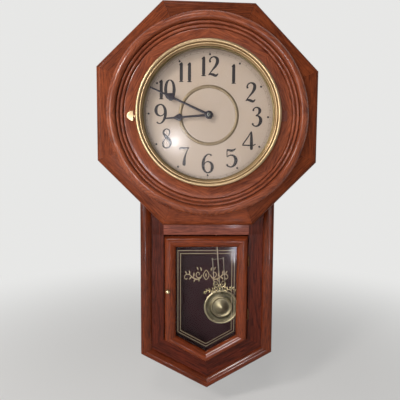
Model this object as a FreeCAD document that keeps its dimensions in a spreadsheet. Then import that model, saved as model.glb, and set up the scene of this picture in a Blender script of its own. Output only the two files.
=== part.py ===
"""Pendulum wall clock with an octagonal head and a glazed drop box.

Millimetres. +Z is up, the back of the case lies on the plane y = 0 and the clock faces -Y.
The origin is the middle of the keyhole hanger's round hole, on the back plane.
Most pieces are drawn about the dial's centre, hang_to_dial below the origin, and depths are
counted from the wall towards the viewer, so a depth d is the plane y = -d.
"""
import FreeCAD, Part
import math
import os
import re

import Sketcher

V = FreeCAD.Vector
doc = FreeCAD.newDocument("PendulumWallClock")
sheet = doc.addObject("Spreadsheet::Sheet", "Sizes")

SIZES = [
    # head
    ("ring_margin", 17, "octagon's flats stand out this far beyond the turned ring"),
    ("head_back", 78, "depth of the octagon's back face"),
    ("head_thick", 22, "octagon's thickness"),
    ("dial_play", 0.8, "space round the dial in the octagon's bore"),
    ("head_round", 7, "round along the octagon's front edges"),
    ("ring_mould", 31, "width of the ring's moulded part, beads and big round"),
    ("ring_show", 21.4, "ring's flat that shows round the bezel"),
    ("ring_flat", 6, "height of the ring's flat above the octagon"),
    ("bead_width", 5, "width of each small bead"),
    ("torus_rise", 16.5, "height of the ring's big round over the octagon"),
    # dial
    ("dial_depth", 97, "depth of the dial's front face"),
    ("dial_lap", 6.2, "dial laps this far behind the turned ring"),
    ("dial_plate_thick", 0.8, "dial plate"),
    ("dial_board_thick", 4, "board behind the dial plate"),
    ("centre_ring_outer", 104.6, "raised ring on the dial, outside diameter"),
    ("centre_ring_width", 5.6, "raised ring's width"),
    ("centre_ring_rise", 1.6, "raised ring's height"),
    ("dial_screw_in", 2.9, "dial's edge to its screws"),
    ("dial_screw_shank", 2.4, "dial screw, shank diameter"),
    ("dial_screw_head", 5, "dial screw, head diameter"),
    ("dial_screw_bite", 4, "length of a dial screw in the turned ring"),
    # bezel
    ("bezel_outer", 247.2, "bezel, outside diameter"),
    ("bezel_lap", 6.6, "bezel laps this far over the turned ring"),
    ("bezel_width", 11.6, "bezel, from its outside to its opening"),
    ("bezel_front", 122, "depth of the bezel's crest"),
    ("bezel_gap", 1, "space between the bezel's back and the turned ring"),
    ("bezel_roll", 6.4, "width of the bezel's outer half-round"),
    ("bezel_bead", 2.8, "width of the small bead inside it"),
    ("glass_thick", 2, "bezel glass and door glass"),
    ("glass_lip", 3.3, "bezel glass's recess, beyond the bezel's opening"),
    ("glass_play", 0.3, "space round the edge of each glass"),
    ("glass_rise", 9, "height of the bezel glass's dome"),
    ("glass_edge_depth", 113.5, "depth of the bezel glass's front edge"),
    ("sight_ring_thick", 3, "ring that holds the bezel glass from behind"),
    ("tab_radius", 9.5, "half-round pull tab"),
    ("tab_out", 16.9, "bezel's outside to the tab's tip"),
    ("tab_drop", 4.5, "tab's centre below the dial's centre"),
    ("tab_thick", 2.6, "pull tab's thickness"),
    ("tab_neck", 12, "height of the strip from the tab to the bezel"),
    # hinges
    ("leaf_thick", 0.8, "hinge leaves"),
    ("knuckle_radius", 1.9, "hinge knuckles"),
    ("hinge_pin", 1.8, "hinge pin diameter"),
    ("pin_play", 0.05, "radial clearance of a pin in its knuckles"),
    ("knuckle_gap", 0.3, "gap between neighbouring knuckles"),
    ("door_hinge_tall", 20, "height of a door hinge"),
    ("door_hinge_in", 47, "ends of the door's right side to its hinges' middles"),
    ("door_leaf_reach", 9, "door hinge leaf, from its pin"),
    ("bezel_hinge_tall", 18, "height of the bezel hinge"),
    ("bezel_hinge_out", 3.4, "bezel's edge to its hinge pin"),
    ("bezel_leaf_reach", 9, "bezel hinge leaf on the turned ring"),
    # case
    ("case_depth", 70, "depth of the front panel's face"),
    ("case_half", 119, "half the case's width"),
    ("case_corner_in", 5.9432, "case's upper corners inside the octagon's slanting sides"),
    ("case_board", 10, "sides, top, foot boards and front panel"),
    ("back_thick", 5, "back board"),
    ("mould_overhang", 4, "mouldings stand out this far beyond the case's sides"),
    ("shoulder_drop", 438.5, "dial centre down to the trunk's lower corners"),
    ("foot_drop", 68, "trunk's lower corners down to its tip"),
    ("trunk_mould", 20, "width of the upright mouldings"),
    ("foot_mould", 16.5, "width of the two sloping mouldings"),
    ("mould_up", 53, "octagon's lower flat up to the mouldings' upper ends"),
    ("mould_round", 6.5, "round on the mouldings' outer front edges"),
    ("mould_inner_round", 4, "round on the mouldings' inner front edges"),
    ("panel_up", 43, "octagon's lower flat up to the front panel's upper edge"),
    ("cleat_tall", 32, "strip of the top rail that reaches the octagon's back"),
    # door
    ("door_half", 77, "half the door's width"),
    ("door_shift", -2, "door's centre line from the case's, towards +X"),
    ("door_below", 23.5, "octagon's lower flat down to the door"),
    ("door_up", 51.5, "trunk's tip up to the door's tip"),
    ("door_stile", 21, "width of the door's stiles"),
    ("door_rail", 20.5, "width of the door's top rail"),
    ("door_foot", 17, "width of the door's two sloping rails"),
    ("door_gap", 2, "space round the door in the panel's opening"),
    ("door_sink", 7.5, "door's back behind the panel's face"),
    ("door_thick", 20.5, "door frame's thickness"),
    ("door_round", 7, "round on the door frame's outer front edges"),
    ("door_inner_round", 5, "round on the door frame's inner front edges"),
    ("glass_lap", 3.5, "door glass laps this far behind the frame"),
    ("glass_rebate", 11, "depth of the rebate in the door frame, from its back"),
    ("glass_bead_wide", 3.2, "width of the beads that hold the door glass"),
    ("glass_bead_thick", 4, "thickness of those beads"),
    ("knob_in", 7, "door's edge to the knob's centre"),
    ("knob_low", 1.5, "middle of the door's left side down to the knob"),
    ("knob_radius", 4.6, "knob"),
    ("knob_long", 9.5, "knob's length in front of the door"),
    ("knob_stem", 4, "knob's stem diameter"),
    ("knob_bite", 7, "length of the knob's stem in the stile"),
    ("magnet_radius", 4, "door catch magnet"),
    ("magnet_in", 9, "door's edge to the magnet's centre"),
    ("catch_long", 28, "length of the catch's body behind the panel"),
    ("catch_tall", 16, "its height"),
    ("catch_thick", 10, "its thickness"),
    ("strike_tall", 14, "steel plate on the door's back"),
    ("strike_wide", 9, "width of that plate"),
    ("catch_gap", 0.3, "space between the magnet and its plate"),
    # hanger
    ("hanger_drop", 48, "case's top down to the keyhole's round hole"),
    ("hanger_wide", 28, "keyhole plate's width"),
    ("hanger_tall", 52, "keyhole plate's height"),
    ("hanger_thick", 1.5, "keyhole plate's thickness"),
    ("keyhole_radius", 5, "keyhole's round hole"),
    ("keyslot_width", 5, "keyhole's slot"),
    ("keyslot_rise", 12, "round hole up to the slot's end centre"),
    ("hanger_window", 16, "width of the hole in the back board behind the keyhole"),
    ("hanger_screw", 3, "hanger screw, shank diameter"),
    ("hanger_screw_in", 5.6, "plate's end to the screw's centre"),
    # movement
    ("move_half", 37, "half the movement's width"),
    ("move_top", 32, "movement's top above the dial's centre"),
    ("move_bottom", 62, "dial's centre down to the movement's bottom"),
    ("move_depth", 26, "movement's thickness"),
    ("move_split", 13, "thickness of its front half"),
    ("move_wall", 1.6, "movement's walls"),
    ("tube_radius", 4.2, "threaded centre tube"),
    ("tube_out", 4, "centre tube's length in front of the dial"),
    ("pipe_radius", 2.8, "hour pipe"),
    ("arbor_radius", 1.5, "minute arbor"),
    ("fit_play", 0.05, "radial clearance of a running shaft"),
    ("nut_radius", 6.4, "centre nut, to its corners"),
    ("nut_thick", 2.4, "centre nut"),
    ("hour_hand_depth", 102.4, "depth of the hour hand's back face"),
    ("minute_hand_depth", 105.4, "depth of the minute hand's back face"),
    ("hand_thick", 0.8, "hands"),
    ("hand_boss", 7, "radius of the hands' round ends"),
    ("cap_radius", 3.6, "nut that holds the minute hand"),
    ("cap_thick", 2.6, "its thickness"),
    ("minute_short", 2, "minute hand's tip short of the bezel's opening"),
    ("minute_bulb", 71, "minute hand, centre to the middle of its bulb"),
    ("minute_bulb_half", 7, "half the bulb's width"),
    ("hour_length", 77, "hour hand, centre to tip"),
    ("hour_bulb", 51, "hour hand, centre to the middle of its bulb"),
    ("hour_bulb_half", 6.4, "half the bulb's width"),
    ("hand_half", 1.7, "half a hand's width at its root"),
    ("hand_neck", 1, "half a hand's width beside its bulb"),
    ("show_hour", 8, "hour that the hands show at rest"),
    ("show_minute", 49, "minutes that the hands show at rest"),
    ("tooth_module", 0.5, "module of the motion work's teeth"),
    ("train_bearing", 225, "direction of the motion wheel from the centre, degrees from +X towards +Z"),
    ("battery_radius", 7.2, "battery"),
    ("battery_long", 50.5, "battery's length"),
    ("battery_drop", 50, "dial's centre down to the battery's axis"),
    ("battery_end", 1.2, "thickness of each battery contact"),
    ("battery_wall", 1.5, "walls at the ends of the battery bay"),
    ("set_knob_radius", 8, "hand-setting knob on the back"),
    ("set_knob_long", 5, "its length behind the movement"),
    ("stud_radius", 0.9, "studs that the small wheels turn on"),
    ("stud_stop", 1.8, "motion wheel's stud stops this short of the case's split"),
    ("post_long", 4.6, "posts that hold the stator"),
    ("knob_boss_long", 5.6, "boss for the setting knob's end"),
    ("knob_boss_bore", 3.2, "depth of its bore"),
    ("rotor_boss_long", 2.4, "boss for the rotor's end"),
    ("rotor_boss_bore", 2, "depth of its bore"),
    ("rotor_radius", 2.2, "rotor magnet"),
    ("rotor_pivot", 0.6, "rotor's pivots"),
    ("rotor_x", -24, "rotor from the dial's axis, towards +X"),
    ("rotor_z", 17, "rotor above the dial's centre"),
    ("arbor_foot", 1, "radius of the minute arbor's rear pivot"),
    ("arbor_neck", 1.2, "radius of the minute arbor's front end"),
    ("foot_boss_long", 3.2, "boss for the arbor's rear pivot"),
    ("foot_boss_bore", 2.4, "depth of its bore"),
    ("stator_thick", 1.2, "stator plate"),
    ("coil_radius", 3.4, "motor coil"),
    ("coil_long", 11, "motor coil's length"),
    ("drive_coil_radius", 5, "pendulum's drive coil"),
    ("drive_coil_long", 7, "its length"),
    # pendulum
    ("swing_rest", 4.3, "swing to the right at which the pendulum is drawn, in degrees"),
    ("pivot_rise", 12, "pendulum's pivot above the dial's centre"),
    ("pendulum_depth", 45, "depth of the pendulum's plane"),
    ("pivot_pin", 4, "pivot pin's diameter"),
    ("hanger_arm_long", 66, "pivot down to the plastic hanger's lower end"),
    ("hanger_arm_half", 6, "half the hanger's width"),
    ("hanger_arm_thick", 4, "hanger's thickness"),
    ("pin_behind", 5.6, "pivot pin's collared end behind the pendulum's plane"),
    ("collar_wide", 1.4, "collar's width round the pivot pin"),
    ("collar_thick", 1, "collar's thickness"),
    ("drive_drop", 48, "pivot down to the drive coil and its magnet"),
    ("drive_gap", 5.2, "movement's back to the pendulum's magnet"),
    ("drive_magnet_radius", 4, "pendulum's magnet"),
    ("drive_magnet_thick", 4, "its thickness"),
    ("rod_hold", 6, "length of the middle rod inside its hanger"),
    ("bob_up", 95, "door's tip up to the hanging bob's centre"),
    ("bob_radius", 34, "bob"),
    ("bob_thick", 10, "bob's thickness"),
    ("bob_shell", 1, "thickness of the bob's two shells"),
    ("rod_width", 3, "middle rod's width"),
    ("rod_thick", 1.6, "rods' thickness"),
    ("side_rod_radius", 0.9, "side rods"),
    ("lyre_forward", 5.2, "scroll plate stands this far in front of the rods"),
    ("rod_spacing", 10.5, "middle rod to a side rod"),
    ("side_rod_up", 96, "bob's centre up to the side rods' upper ends"),
    ("lyre_up", 47, "bob's centre up to the scroll plate's middle"),
]
DERIVED = [
    ("ring_flat_edge", "bezel_outer + 2 * ring_show", "diameter at which the ring's flat ends"),
    ("ring_outer", "ring_flat_edge + 2 * ring_mould", "turned ring, outside diameter"),
    ("head_flats", "ring_outer + 2 * ring_margin", "octagon, across its flats"),
    ("ring_sight", "bezel_outer - 2 * bezel_lap", "turned ring, inside diameter"),
    ("dial_diameter", "ring_sight + 2 * dial_lap", "dial plate and its board"),
    ("head_bore", "dial_diameter + 2 * dial_play", "round hole through the octagon"),
    ("dial_screw_circle", "dial_diameter - 2 * dial_screw_in", "pitch circle of the dial's screws"),
    ("bezel_sight", "bezel_outer - 2 * bezel_width", "bezel, opening over the dial"),
    ("glass_seat", "bezel_sight + 2 * glass_lip", "diameter of the recess for the bezel glass"),
    ("tab_reach", "bezel_outer / 2 + tab_out", "dial centre to the tab's tip"),
    ("minute_length", "bezel_sight / 2 - minute_short", "minute hand, centre to tip"),
    ("case_top", "head_flats / sqrt(2) - case_half - case_corner_in", "case's top above the dial's centre"),
    ("hang_to_dial", "case_top - hanger_drop", "hanger hole down to the dial's centre"),
    ("trunk_half", "case_half + mould_overhang", "half the width over the mouldings"),
    ("tip_drop", "shoulder_drop + foot_drop", "dial centre down to the trunk's tip"),
    ("mould_top", "head_flats / 2 - mould_up", "dial centre down to the mouldings' upper ends"),
    ("panel_top", "head_flats / 2 - panel_up", "dial centre down to the panel's upper edge"),
    ("door_top", "head_flats / 2 + door_below", "dial centre down to the door's upper edge"),
    ("door_tip", "tip_drop - door_up", "dial centre down to the door's tip"),
    ("door_side", "door_tip - foot_drop / trunk_half * door_half", "dial centre to the door's lower corners"),
    ("door_hinge_high", "door_top + door_hinge_in", "dial centre down to the upper door hinge"),
    ("door_hinge_low", "door_side - door_hinge_in", "dial centre down to the lower door hinge"),
    ("knob_drop", "(door_top + door_side) / 2 + knob_low", "dial centre down to the knob"),
    ("bob_drop", "door_tip + pivot_rise - bob_up", "pivot down to the bob's centre"),
    ("side_rod_top", "bob_drop - side_rod_up", "pivot down to the side rods' upper ends"),
    ("lyre_top", "bob_drop - lyre_up", "pivot down to the scroll plate's middle"),
]
rows = [(alias, str(value), words) for alias, value, words in SIZES]
rows += [(alias, "=" + value, words) for alias, value, words in DERIVED]
for row, (alias, value, words) in enumerate(rows, start=1):
    sheet.set(f"A{row}", alias)
    sheet.set(f"B{row}", value)
    sheet.set(f"C{row}", words)
    sheet.setAlias(f"B{row}", alias)
doc.recompute()

NAME = re.compile(r"\b[a-z][a-z0-9]*(?:_[a-z0-9]+)+\b")


def bound(text):
    """An expression on the sheet's names, as FreeCAD writes it."""
    return NAME.sub(lambda found: "Sizes." + found.group(0), str(text))


def num(text):
    """The present value of such an expression."""
    value = sheet.evalExpression(bound(text))
    return float(getattr(value, "Value", value))


# ---------------------------------------------------------------- drawing helpers

class Outline:
    """A closed outline of straight and round stretches, every corner tied to the sheet."""

    def __init__(self, start):
        self.corners = [start]
        self.rounds = {}

    def line(self, x, y):
        self.corners.append((x, y))
        return self

    def arc(self, x, y, radius, left=True):
        """An arc to a corner; left is true where it turns left along the way."""
        self.rounds[len(self.corners) - 1] = (radius, left)
        self.corners.append((x, y))
        return self


def arc_geometry(p, q, radius, left):
    """The arc from p to q that turns left or right, by way of its centre."""
    chord = q - p
    half = chord.Length / 2
    rise = math.sqrt(max(radius ** 2 - half ** 2, 0))
    side = V(-chord.y, chord.x, 0).normalize() * (rise if left else -rise)
    centre = (p + q) * 0.5 + side
    first, last = (p, q) if left else (q, p)
    start = math.atan2(first.y - centre.y, first.x - centre.x)
    stop = math.atan2(last.y - centre.y, last.x - centre.x)
    if stop <= start:
        stop += 2 * math.pi
    return Part.ArcOfCircle(Part.Circle(centre, V(0, 0, 1), radius), start, stop)


def draw(sketch, outline):
    """Adds an outline to a sketch and ties its corners and radii to the sheet."""
    corners = [V(num(x), num(y), 0) for x, y in outline.corners]
    count = len(corners)
    ends = []
    for i in range(count):
        p, q = corners[i], corners[(i + 1) % count]
        if i in outline.rounds:
            radius, left = outline.rounds[i]
            edge = sketch.addGeometry(arc_geometry(p, q, num(radius), left), False)
            ends.append((edge, 1, 2) if left else (edge, 2, 1))
            tie = sketch.addConstraint(Sketcher.Constraint("Radius", edge, num(radius)))
            sketch.setExpression(f"Constraints[{tie}]", bound(radius))
        else:
            edge = sketch.addGeometry(Part.LineSegment(p, q), False)
            ends.append((edge, 1, 2))
    for i in range(count):
        edge, _, stop = ends[i]
        following, start, _ = ends[(i + 1) % count]
        sketch.addConstraint(Sketcher.Constraint("Coincident", edge, stop, following, start))
    for i, (x, y) in enumerate(outline.corners):
        edge, start, _ = ends[i]
        for kind, text in (("DistanceX", x), ("DistanceY", y)):
            tie = sketch.addConstraint(Sketcher.Constraint(kind, -1, 1, edge, start, num(text)))
            sketch.setExpression(f"Constraints[{tie}]", bound(text))


def draw_circle(sketch, x, y, radius):
    circle = sketch.addGeometry(Part.Circle(V(num(x), num(y), 0), V(0, 0, 1), num(radius)), False)
    for kind, text in (("DistanceX", x), ("DistanceY", y)):
        tie = sketch.addConstraint(Sketcher.Constraint(kind, -1, 1, circle, 3, num(text)))
        sketch.setExpression(f"Constraints[{tie}]", bound(text))
    tie = sketch.addConstraint(Sketcher.Constraint("Radius", circle, num(radius)))
    sketch.setExpression(f"Constraints[{tie}]", bound(radius))


def polygon(*corners):
    outline = Outline(corners[0])
    for x, y in corners[1:]:
        outline.line(x, y)
    return outline


def box_outline(x0, y0, x1, y1):
    return polygon((x0, y0), (x1, y0), (x1, y1), (x0, y1))


def new_body(label, x="0", depth="0", z="-hang_to_dial"):
    """A body whose own origin is drawn about the dial's axis, at a depth from the wall."""
    body = doc.addObject("PartDesign::Body", label)
    body.Label = label
    place(body, x, depth, z)
    return body


def place(item, x, depth, z):
    item.setExpression(".Placement.Base.x", bound(x))
    item.setExpression(".Placement.Base.y", bound(f"-({depth})"))
    item.setExpression(".Placement.Base.z", bound(z))


def new_sketch(body, plane, outlines=(), circles=()):
    """A sketch on one of the body's own planes. On XZ it is drawn in x and z, on XY in x and y."""
    sketch = body.newObject("Sketcher::SketchObject", body.Label + "_sketch")
    support = [item for item in body.Origin.OriginFeatures if item.Role == plane][0]
    sketch.AttachmentSupport = [(support, "")]
    sketch.MapMode = "FlatFace"
    for outline in outlines:
        draw(sketch, outline)
    for x, y, radius in circles:
        draw_circle(sketch, x, y, radius)
    return sketch


def pad(body, length, outlines=(), circles=(), start="0"):
    """Front view outlines raised from a start depth by a length, towards the viewer."""
    sketch = new_sketch(body, "XZ_Plane", outlines, circles)
    sketch.setExpression(".AttachmentOffset.Base.z", bound(start))
    feature = body.newObject("PartDesign::Pad", body.Label + "_pad")
    feature.Profile = sketch
    feature.setExpression("Length", bound(length))
    doc.recompute()
    return feature


def cut(body, length, outlines=(), circles=(), start="0"):
    """The same, taken away from the body."""
    before = body.Shape.Volume
    sketch = new_sketch(body, "XZ_Plane", outlines, circles)
    sketch.setExpression(".AttachmentOffset.Base.z", bound(start))
    feature = body.newObject("PartDesign::Pocket", body.Label + "_cut")
    feature.Profile = sketch
    feature.Reversed = True
    feature.setExpression("Length", bound(length))
    doc.recompute()
    if not body.Shape.Volume < before - 1e-6:
        raise RuntimeError(f"{body.Label}: a cut takes nothing away")
    return feature


def turn(body, outline, angle=360):
    """A section in radius and y, turned about the Y axis."""
    sketch = new_sketch(body, "XY_Plane", [outline])
    feature = body.newObject("PartDesign::Revolution", body.Label + "_turn")
    feature.Profile = sketch
    feature.ReferenceAxis = (sketch, ["V_Axis"])
    feature.Angle = angle
    doc.recompute()
    return feature


def round_edges(body, radius, wanted):
    """A fillet on the body's straight edges that join the wanted pairs of points (x, depth, z)."""
    def at(point):
        return V(num(point[0]), -num(point[1]), num(point[2]))

    base = body.Tip
    names = []
    for first, last in wanted:
        p, q = at(first), at(last)
        for i, edge in enumerate(base.Shape.Edges, start=1):
            a, b = edge.Vertexes[0].Point, edge.Vertexes[-1].Point
            if min((a - p).Length + (b - q).Length, (a - q).Length + (b - p).Length) < 1e-3:
                names.append(f"Edge{i}")
    if len(names) != len(wanted):
        raise RuntimeError(f"{body.Label}: {len(names)} of {len(wanted)} edges found to round")
    fillet = body.newObject("PartDesign::Fillet", body.Label + "_round")
    fillet.Base = (base, names)
    fillet.setExpression("Radius", bound(radius))
    doc.recompute()
    return fillet


def group(label, items):
    """Several solids under one name, left separate."""
    joined = doc.addObject("Part::Compound", label)
    joined.Label = label
    joined.Links = items
    doc.recompute()
    return joined


def rod(label, x, z, radius, back, length):
    """A round rod along Y from a back depth towards the viewer, about the dial's centre."""
    item = doc.addObject("Part::Cylinder", label)
    item.Label = label
    item.Placement.Rotation = FreeCAD.Rotation(V(1, 0, 0), 90)
    item.setExpression("Radius", bound(radius))
    item.setExpression("Height", bound(length))
    place(item, x, back, f"({z}) - hang_to_dial")
    return item


def post(label, x, depth, low, radius, tall):
    """A round rod along Z from a low end, about the dial's centre."""
    item = doc.addObject("Part::Cylinder", label)
    item.Label = label
    item.setExpression("Radius", bound(radius))
    item.setExpression("Height", bound(tall))
    place(item, x, depth, f"({low}) - hang_to_dial")
    return item


def block(label, x0, x1, back, front, z0, z1):
    """A box between two x, two depths and two heights about the dial's centre."""
    item = doc.addObject("Part::Box", label)
    item.Label = label
    item.setExpression("Length", bound(f"({x1}) - ({x0})"))
    item.setExpression("Width", bound(f"({front}) - ({back})"))
    item.setExpression("Height", bound(f"({z1}) - ({z0})"))
    place(item, x0, front, f"({z0}) - hang_to_dial")
    return item


def combine(label, kind, base, tool):
    """Part::Cut, Part::Fuse or Part::Common of two objects."""
    item = doc.addObject("Part::" + kind, label)
    item.Label = label
    item.Base = base
    item.Tool = tool
    doc.recompute()
    return item


parts = []


def keep(item, label=None):
    """Marks an object as one sub-part of the clock."""
    if label:
        item.Label = label
    parts.append(item)
    return item


# ---------------------------------------------------------------- shared lines of the design

HEAD_FRONT = "(head_back + head_thick)"
DIAL_BACK = "(dial_depth - dial_plate_thick)"
BOARD_BACK = "(dial_depth - dial_plate_thick - dial_board_thick)"
FOOT_SLOPE = "(foot_drop / trunk_half)"
FOOT_STRETCH = f"sqrt(1 + {FOOT_SLOPE}^2)"
OVERHANG = "mould_overhang"
CASE_INNER = "(case_half - case_board)"
DOOR_BACK = "(case_depth - door_sink)"
DOOR_FRONT = "(case_depth - door_sink + door_thick)"
HANGER_MIDDLE = "(hang_to_dial + keyslot_rise / 2)"
HANGER_PLATE = ("-hanger_wide / 2", f"{HANGER_MIDDLE} - hanger_tall / 2",
                "hanger_wide / 2", f"{HANGER_MIDDLE} + hanger_tall / 2")


def foot(x, inset, tip="tip_drop"):
    """Height at x of a line that slopes as the foot does, inset square from a tip's own line."""
    return f"(-({tip}) + {FOOT_SLOPE} * ({x}) + ({inset}) * {FOOT_STRETCH})"


def mirrored(label, make):
    """The left and right copies of a piece, as two solids of one sub-part."""
    keep(group(label, [make(label + "_left", -1), make(label + "_right", 1)]))


# ---------------------------------------------------------------- head

def head_octagon():
    """Eight mitred staves, each rounded along its outer front edge."""
    corner = "(head_flats / 2 * tan(22.5))"
    inner = "(head_bore / 4)"
    staves = []
    for number in range(8):
        body = new_body(f"head_stave_{number + 1}", depth="head_back")
        body.Placement.Rotation = FreeCAD.Rotation(V(0, 1, 0), 45 * number)
        pad(body, "head_thick", [polygon(
            (f"-{inner} * tan(22.5)", inner), (f"{inner} * tan(22.5)", inner),
            (corner, "head_flats / 2"), (f"-{corner}", "head_flats / 2"))])
        round_edges(body, "head_round", [
            ((f"-{corner}", "head_thick", "head_flats / 2"), (corner, "head_thick", "head_flats / 2"))])
        cut(body, "head_thick", circles=[("0", "0", "head_bore / 2")])
        staves.append(body)
    keep(group("head_octagon", staves))


def head_ring():
    """The turned ring: a spigot in the octagon's bore, a flat, two beads and a big round."""
    body = new_body("head_ring")
    front = HEAD_FRONT
    flat = f"({front} + ring_flat)"
    edge = "(ring_flat_edge / 2)"
    bead = "(bead_width / 2 * (1 + 0.15))"
    torus = f"({edge} + 2 * bead_width + 3)"
    crest = f"({front} + torus_rise)"
    section = Outline(("ring_sight / 2", "-dial_depth"))
    section.line("head_bore / 2 - glass_play", "-dial_depth")
    section.line("head_bore / 2 - glass_play", f"-{front}")
    section.line("ring_outer / 2", f"-{front}")
    section.line("ring_outer / 2", f"-({front} + 3)")
    section.arc(f"(ring_outer / 2 + {torus}) / 2", f"-{crest}", "(torus_rise - 3) * 1.02", left=False)
    section.arc(torus, f"-({front} + torus_rise / 2)", "(torus_rise - 3) * 1.02", left=False)
    section.line(f"{torus} - 1", f"-({front} + torus_rise / 2)")
    section.arc(f"{torus} - 1 - bead_width", f"-({front} + torus_rise / 2 - 1)", bead, left=False)
    section.line(f"{edge} + 1 + bead_width", f"-{flat}")
    section.arc(f"{edge} + 1", f"-({flat} - 0.5)", bead, left=False)
    section.line(edge, f"-({flat} - 1)")
    section.line(f"{edge} - 1", f"-{flat}")
    section.line("ring_sight / 2", f"-{flat}")
    turn(body, section)
    keep(body)


# ---------------------------------------------------------------- case

def case_box():
    """Sides, top, foot boards and the back board."""
    inner_foot = "case_board + " + OVERHANG

    def side(label, hand):
        body = new_body(label)
        pad(body, "head_back", [polygon(
            (f"{hand} * {CASE_INNER}", "case_top"), (f"{hand} * case_half", "case_top"),
            (f"{hand} * case_half", foot("case_half", inner_foot)),
            (f"{hand} * {CASE_INNER}", foot(CASE_INNER, inner_foot)))])
        cut(body, "head_back - case_depth", [box_outline(
            f"{hand} * ({CASE_INNER} - 1)", "-tip_drop", f"{hand} * (case_half + 1)", "-mould_top")],
            start="case_depth")
        return body

    def foot_board(label, hand):
        body = new_body(label)
        pad(body, "case_depth", [polygon(
            ("0", foot("0", OVERHANG)), (f"{hand} * case_half", foot("case_half", OVERHANG)),
            (f"{hand} * case_half", foot("case_half", inner_foot)), ("0", foot("0", inner_foot)))])
        return body

    mirrored("case_sides", side)
    mirrored("case_foot_boards", foot_board)
    keep(block("case_top", f"-{CASE_INNER}", CASE_INNER, "0", "head_back",
               "case_top - case_board", "case_top"))

    board = new_body("back_board")
    pad(board, "back_thick", [polygon(
        (f"-{CASE_INNER}", "case_top - case_board"), (CASE_INNER, "case_top - case_board"),
        (CASE_INNER, foot(CASE_INNER, inner_foot)), ("0", foot("0", inner_foot)),
        (f"-{CASE_INNER}", foot(CASE_INNER, inner_foot)))])
    cut(board, "hanger_thick", [box_outline(*HANGER_PLATE)])
    cut(board, "back_thick", [box_outline(
        "-hanger_window / 2", "hang_to_dial - hanger_window / 2",
        "hanger_window / 2", "hang_to_dial + keyslot_rise + hanger_window / 2")])
    keep(board)


def hanger():
    """The keyhole plate let into the back board, and its two screws."""
    plate = new_body("hanger_plate")
    hole_y = "(sqrt(keyhole_radius^2 - (keyslot_width / 2)^2))"
    keyhole = Outline(("-keyslot_width / 2", f"hang_to_dial + {hole_y}"))
    keyhole.arc("0", "hang_to_dial - keyhole_radius", "keyhole_radius")
    keyhole.arc("keyslot_width / 2", f"hang_to_dial + {hole_y}", "keyhole_radius")
    keyhole.line("keyslot_width / 2", "hang_to_dial + keyslot_rise")
    keyhole.arc("0", "hang_to_dial + keyslot_rise + keyslot_width / 2", "keyslot_width / 2")
    keyhole.arc("-keyslot_width / 2", "hang_to_dial + keyslot_rise", "keyslot_width / 2")
    pad(plate, "hanger_thick", [box_outline(*HANGER_PLATE), keyhole])
    heights = [f"{HANGER_MIDDLE} + {hand} * (hanger_tall / 2 - hanger_screw_in)" for hand in (1, -1)]
    cut(plate, "hanger_thick", circles=[("0", height, "hanger_screw / 2") for height in heights])
    keep(plate)
    keep(group("hanger_screws", [
        rod(f"hanger_screw_{number}", "0", height, "hanger_screw / 2", "0", "back_thick - 0.5")
        for number, height in enumerate(heights, start=1)]))


def trunk_front():
    """Mouldings and the flat front panel, mitred round the door's opening."""
    def upright(label, hand):
        body = new_body(label, depth="case_depth")
        inner = f"{hand} * (trunk_half - trunk_mould)"
        outer = f"{hand} * trunk_half"
        inner_z = foot("trunk_half - trunk_mould", "foot_mould")
        pad(body, "head_back - case_depth", [polygon(
            (inner, "-mould_top"), (outer, "-mould_top"), (outer, "-shoulder_drop"), (inner, inner_z))])
        front = "head_back - case_depth"
        round_edges(body, "mould_round", [((outer, front, "-mould_top"), (outer, front, "-shoulder_drop"))])
        round_edges(body, "mould_inner_round", [((inner, front, "-mould_top"), (inner, front, inner_z))])
        return body

    def sloping(label, hand):
        body = new_body(label, depth="case_depth")
        inner = f"{hand} * (trunk_half - trunk_mould)"
        outer = f"{hand} * trunk_half"
        inner_z = foot("trunk_half - trunk_mould", "foot_mould")
        pad(body, "head_back - case_depth", [polygon(
            (outer, "-shoulder_drop"), ("0", "-tip_drop"), ("0", foot("0", "foot_mould")), (inner, inner_z))])
        front = "head_back - case_depth"
        round_edges(body, "mould_round", [((outer, front, "-shoulder_drop"), ("0", front, "-tip_drop"))])
        round_edges(body, "mould_inner_round", [
            ((inner, front, inner_z), ("0", front, foot("0", "foot_mould")))])
        return body

    mirrored("trunk_mouldings", upright)
    mirrored("foot_mouldings", sloping)

    opening_top = "(-door_top + door_gap)"
    outer_foot = "case_board + " + OVERHANG

    def opening(hand):
        """The lower corner of the door's opening on one side."""
        half = "(door_half + door_gap)"
        return f"({hand} * {half} + door_shift)", foot(half, "-door_gap", "door_tip")

    def stile(label, hand):
        body = new_body(label, depth="case_depth - case_board")
        x, z = opening(hand)
        pad(body, "case_board", [polygon(
            (x, opening_top), (f"{hand} * {CASE_INNER}", opening_top),
            (f"{hand} * {CASE_INNER}", foot(CASE_INNER, outer_foot)), (x, z))])
        return body

    def foot_rail(label, hand):
        body = new_body(label, depth="case_depth - case_board")
        pad(body, "case_board", [polygon(
            ("0", foot("0", outer_foot)), (f"{hand} * {CASE_INNER}", foot(CASE_INNER, outer_foot)),
            opening(hand), ("door_shift", foot("0", "-door_gap", "door_tip")))])
        return body

    mirrored("panel_stiles", stile)
    mirrored("panel_foot_rails", foot_rail)

    rail = new_body("panel_top_rail", depth="case_depth - case_board")
    pad(rail, "case_board", [box_outline(f"-{CASE_INNER}", opening_top, CASE_INNER, "-panel_top")])
    pad(rail, "head_back - case_depth", [box_outline(
        "-(trunk_half - trunk_mould)", "-panel_top - cleat_tall", "trunk_half - trunk_mould", "-panel_top")],
        start="case_board")
    keep(rail)


# ---------------------------------------------------------------- door

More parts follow.
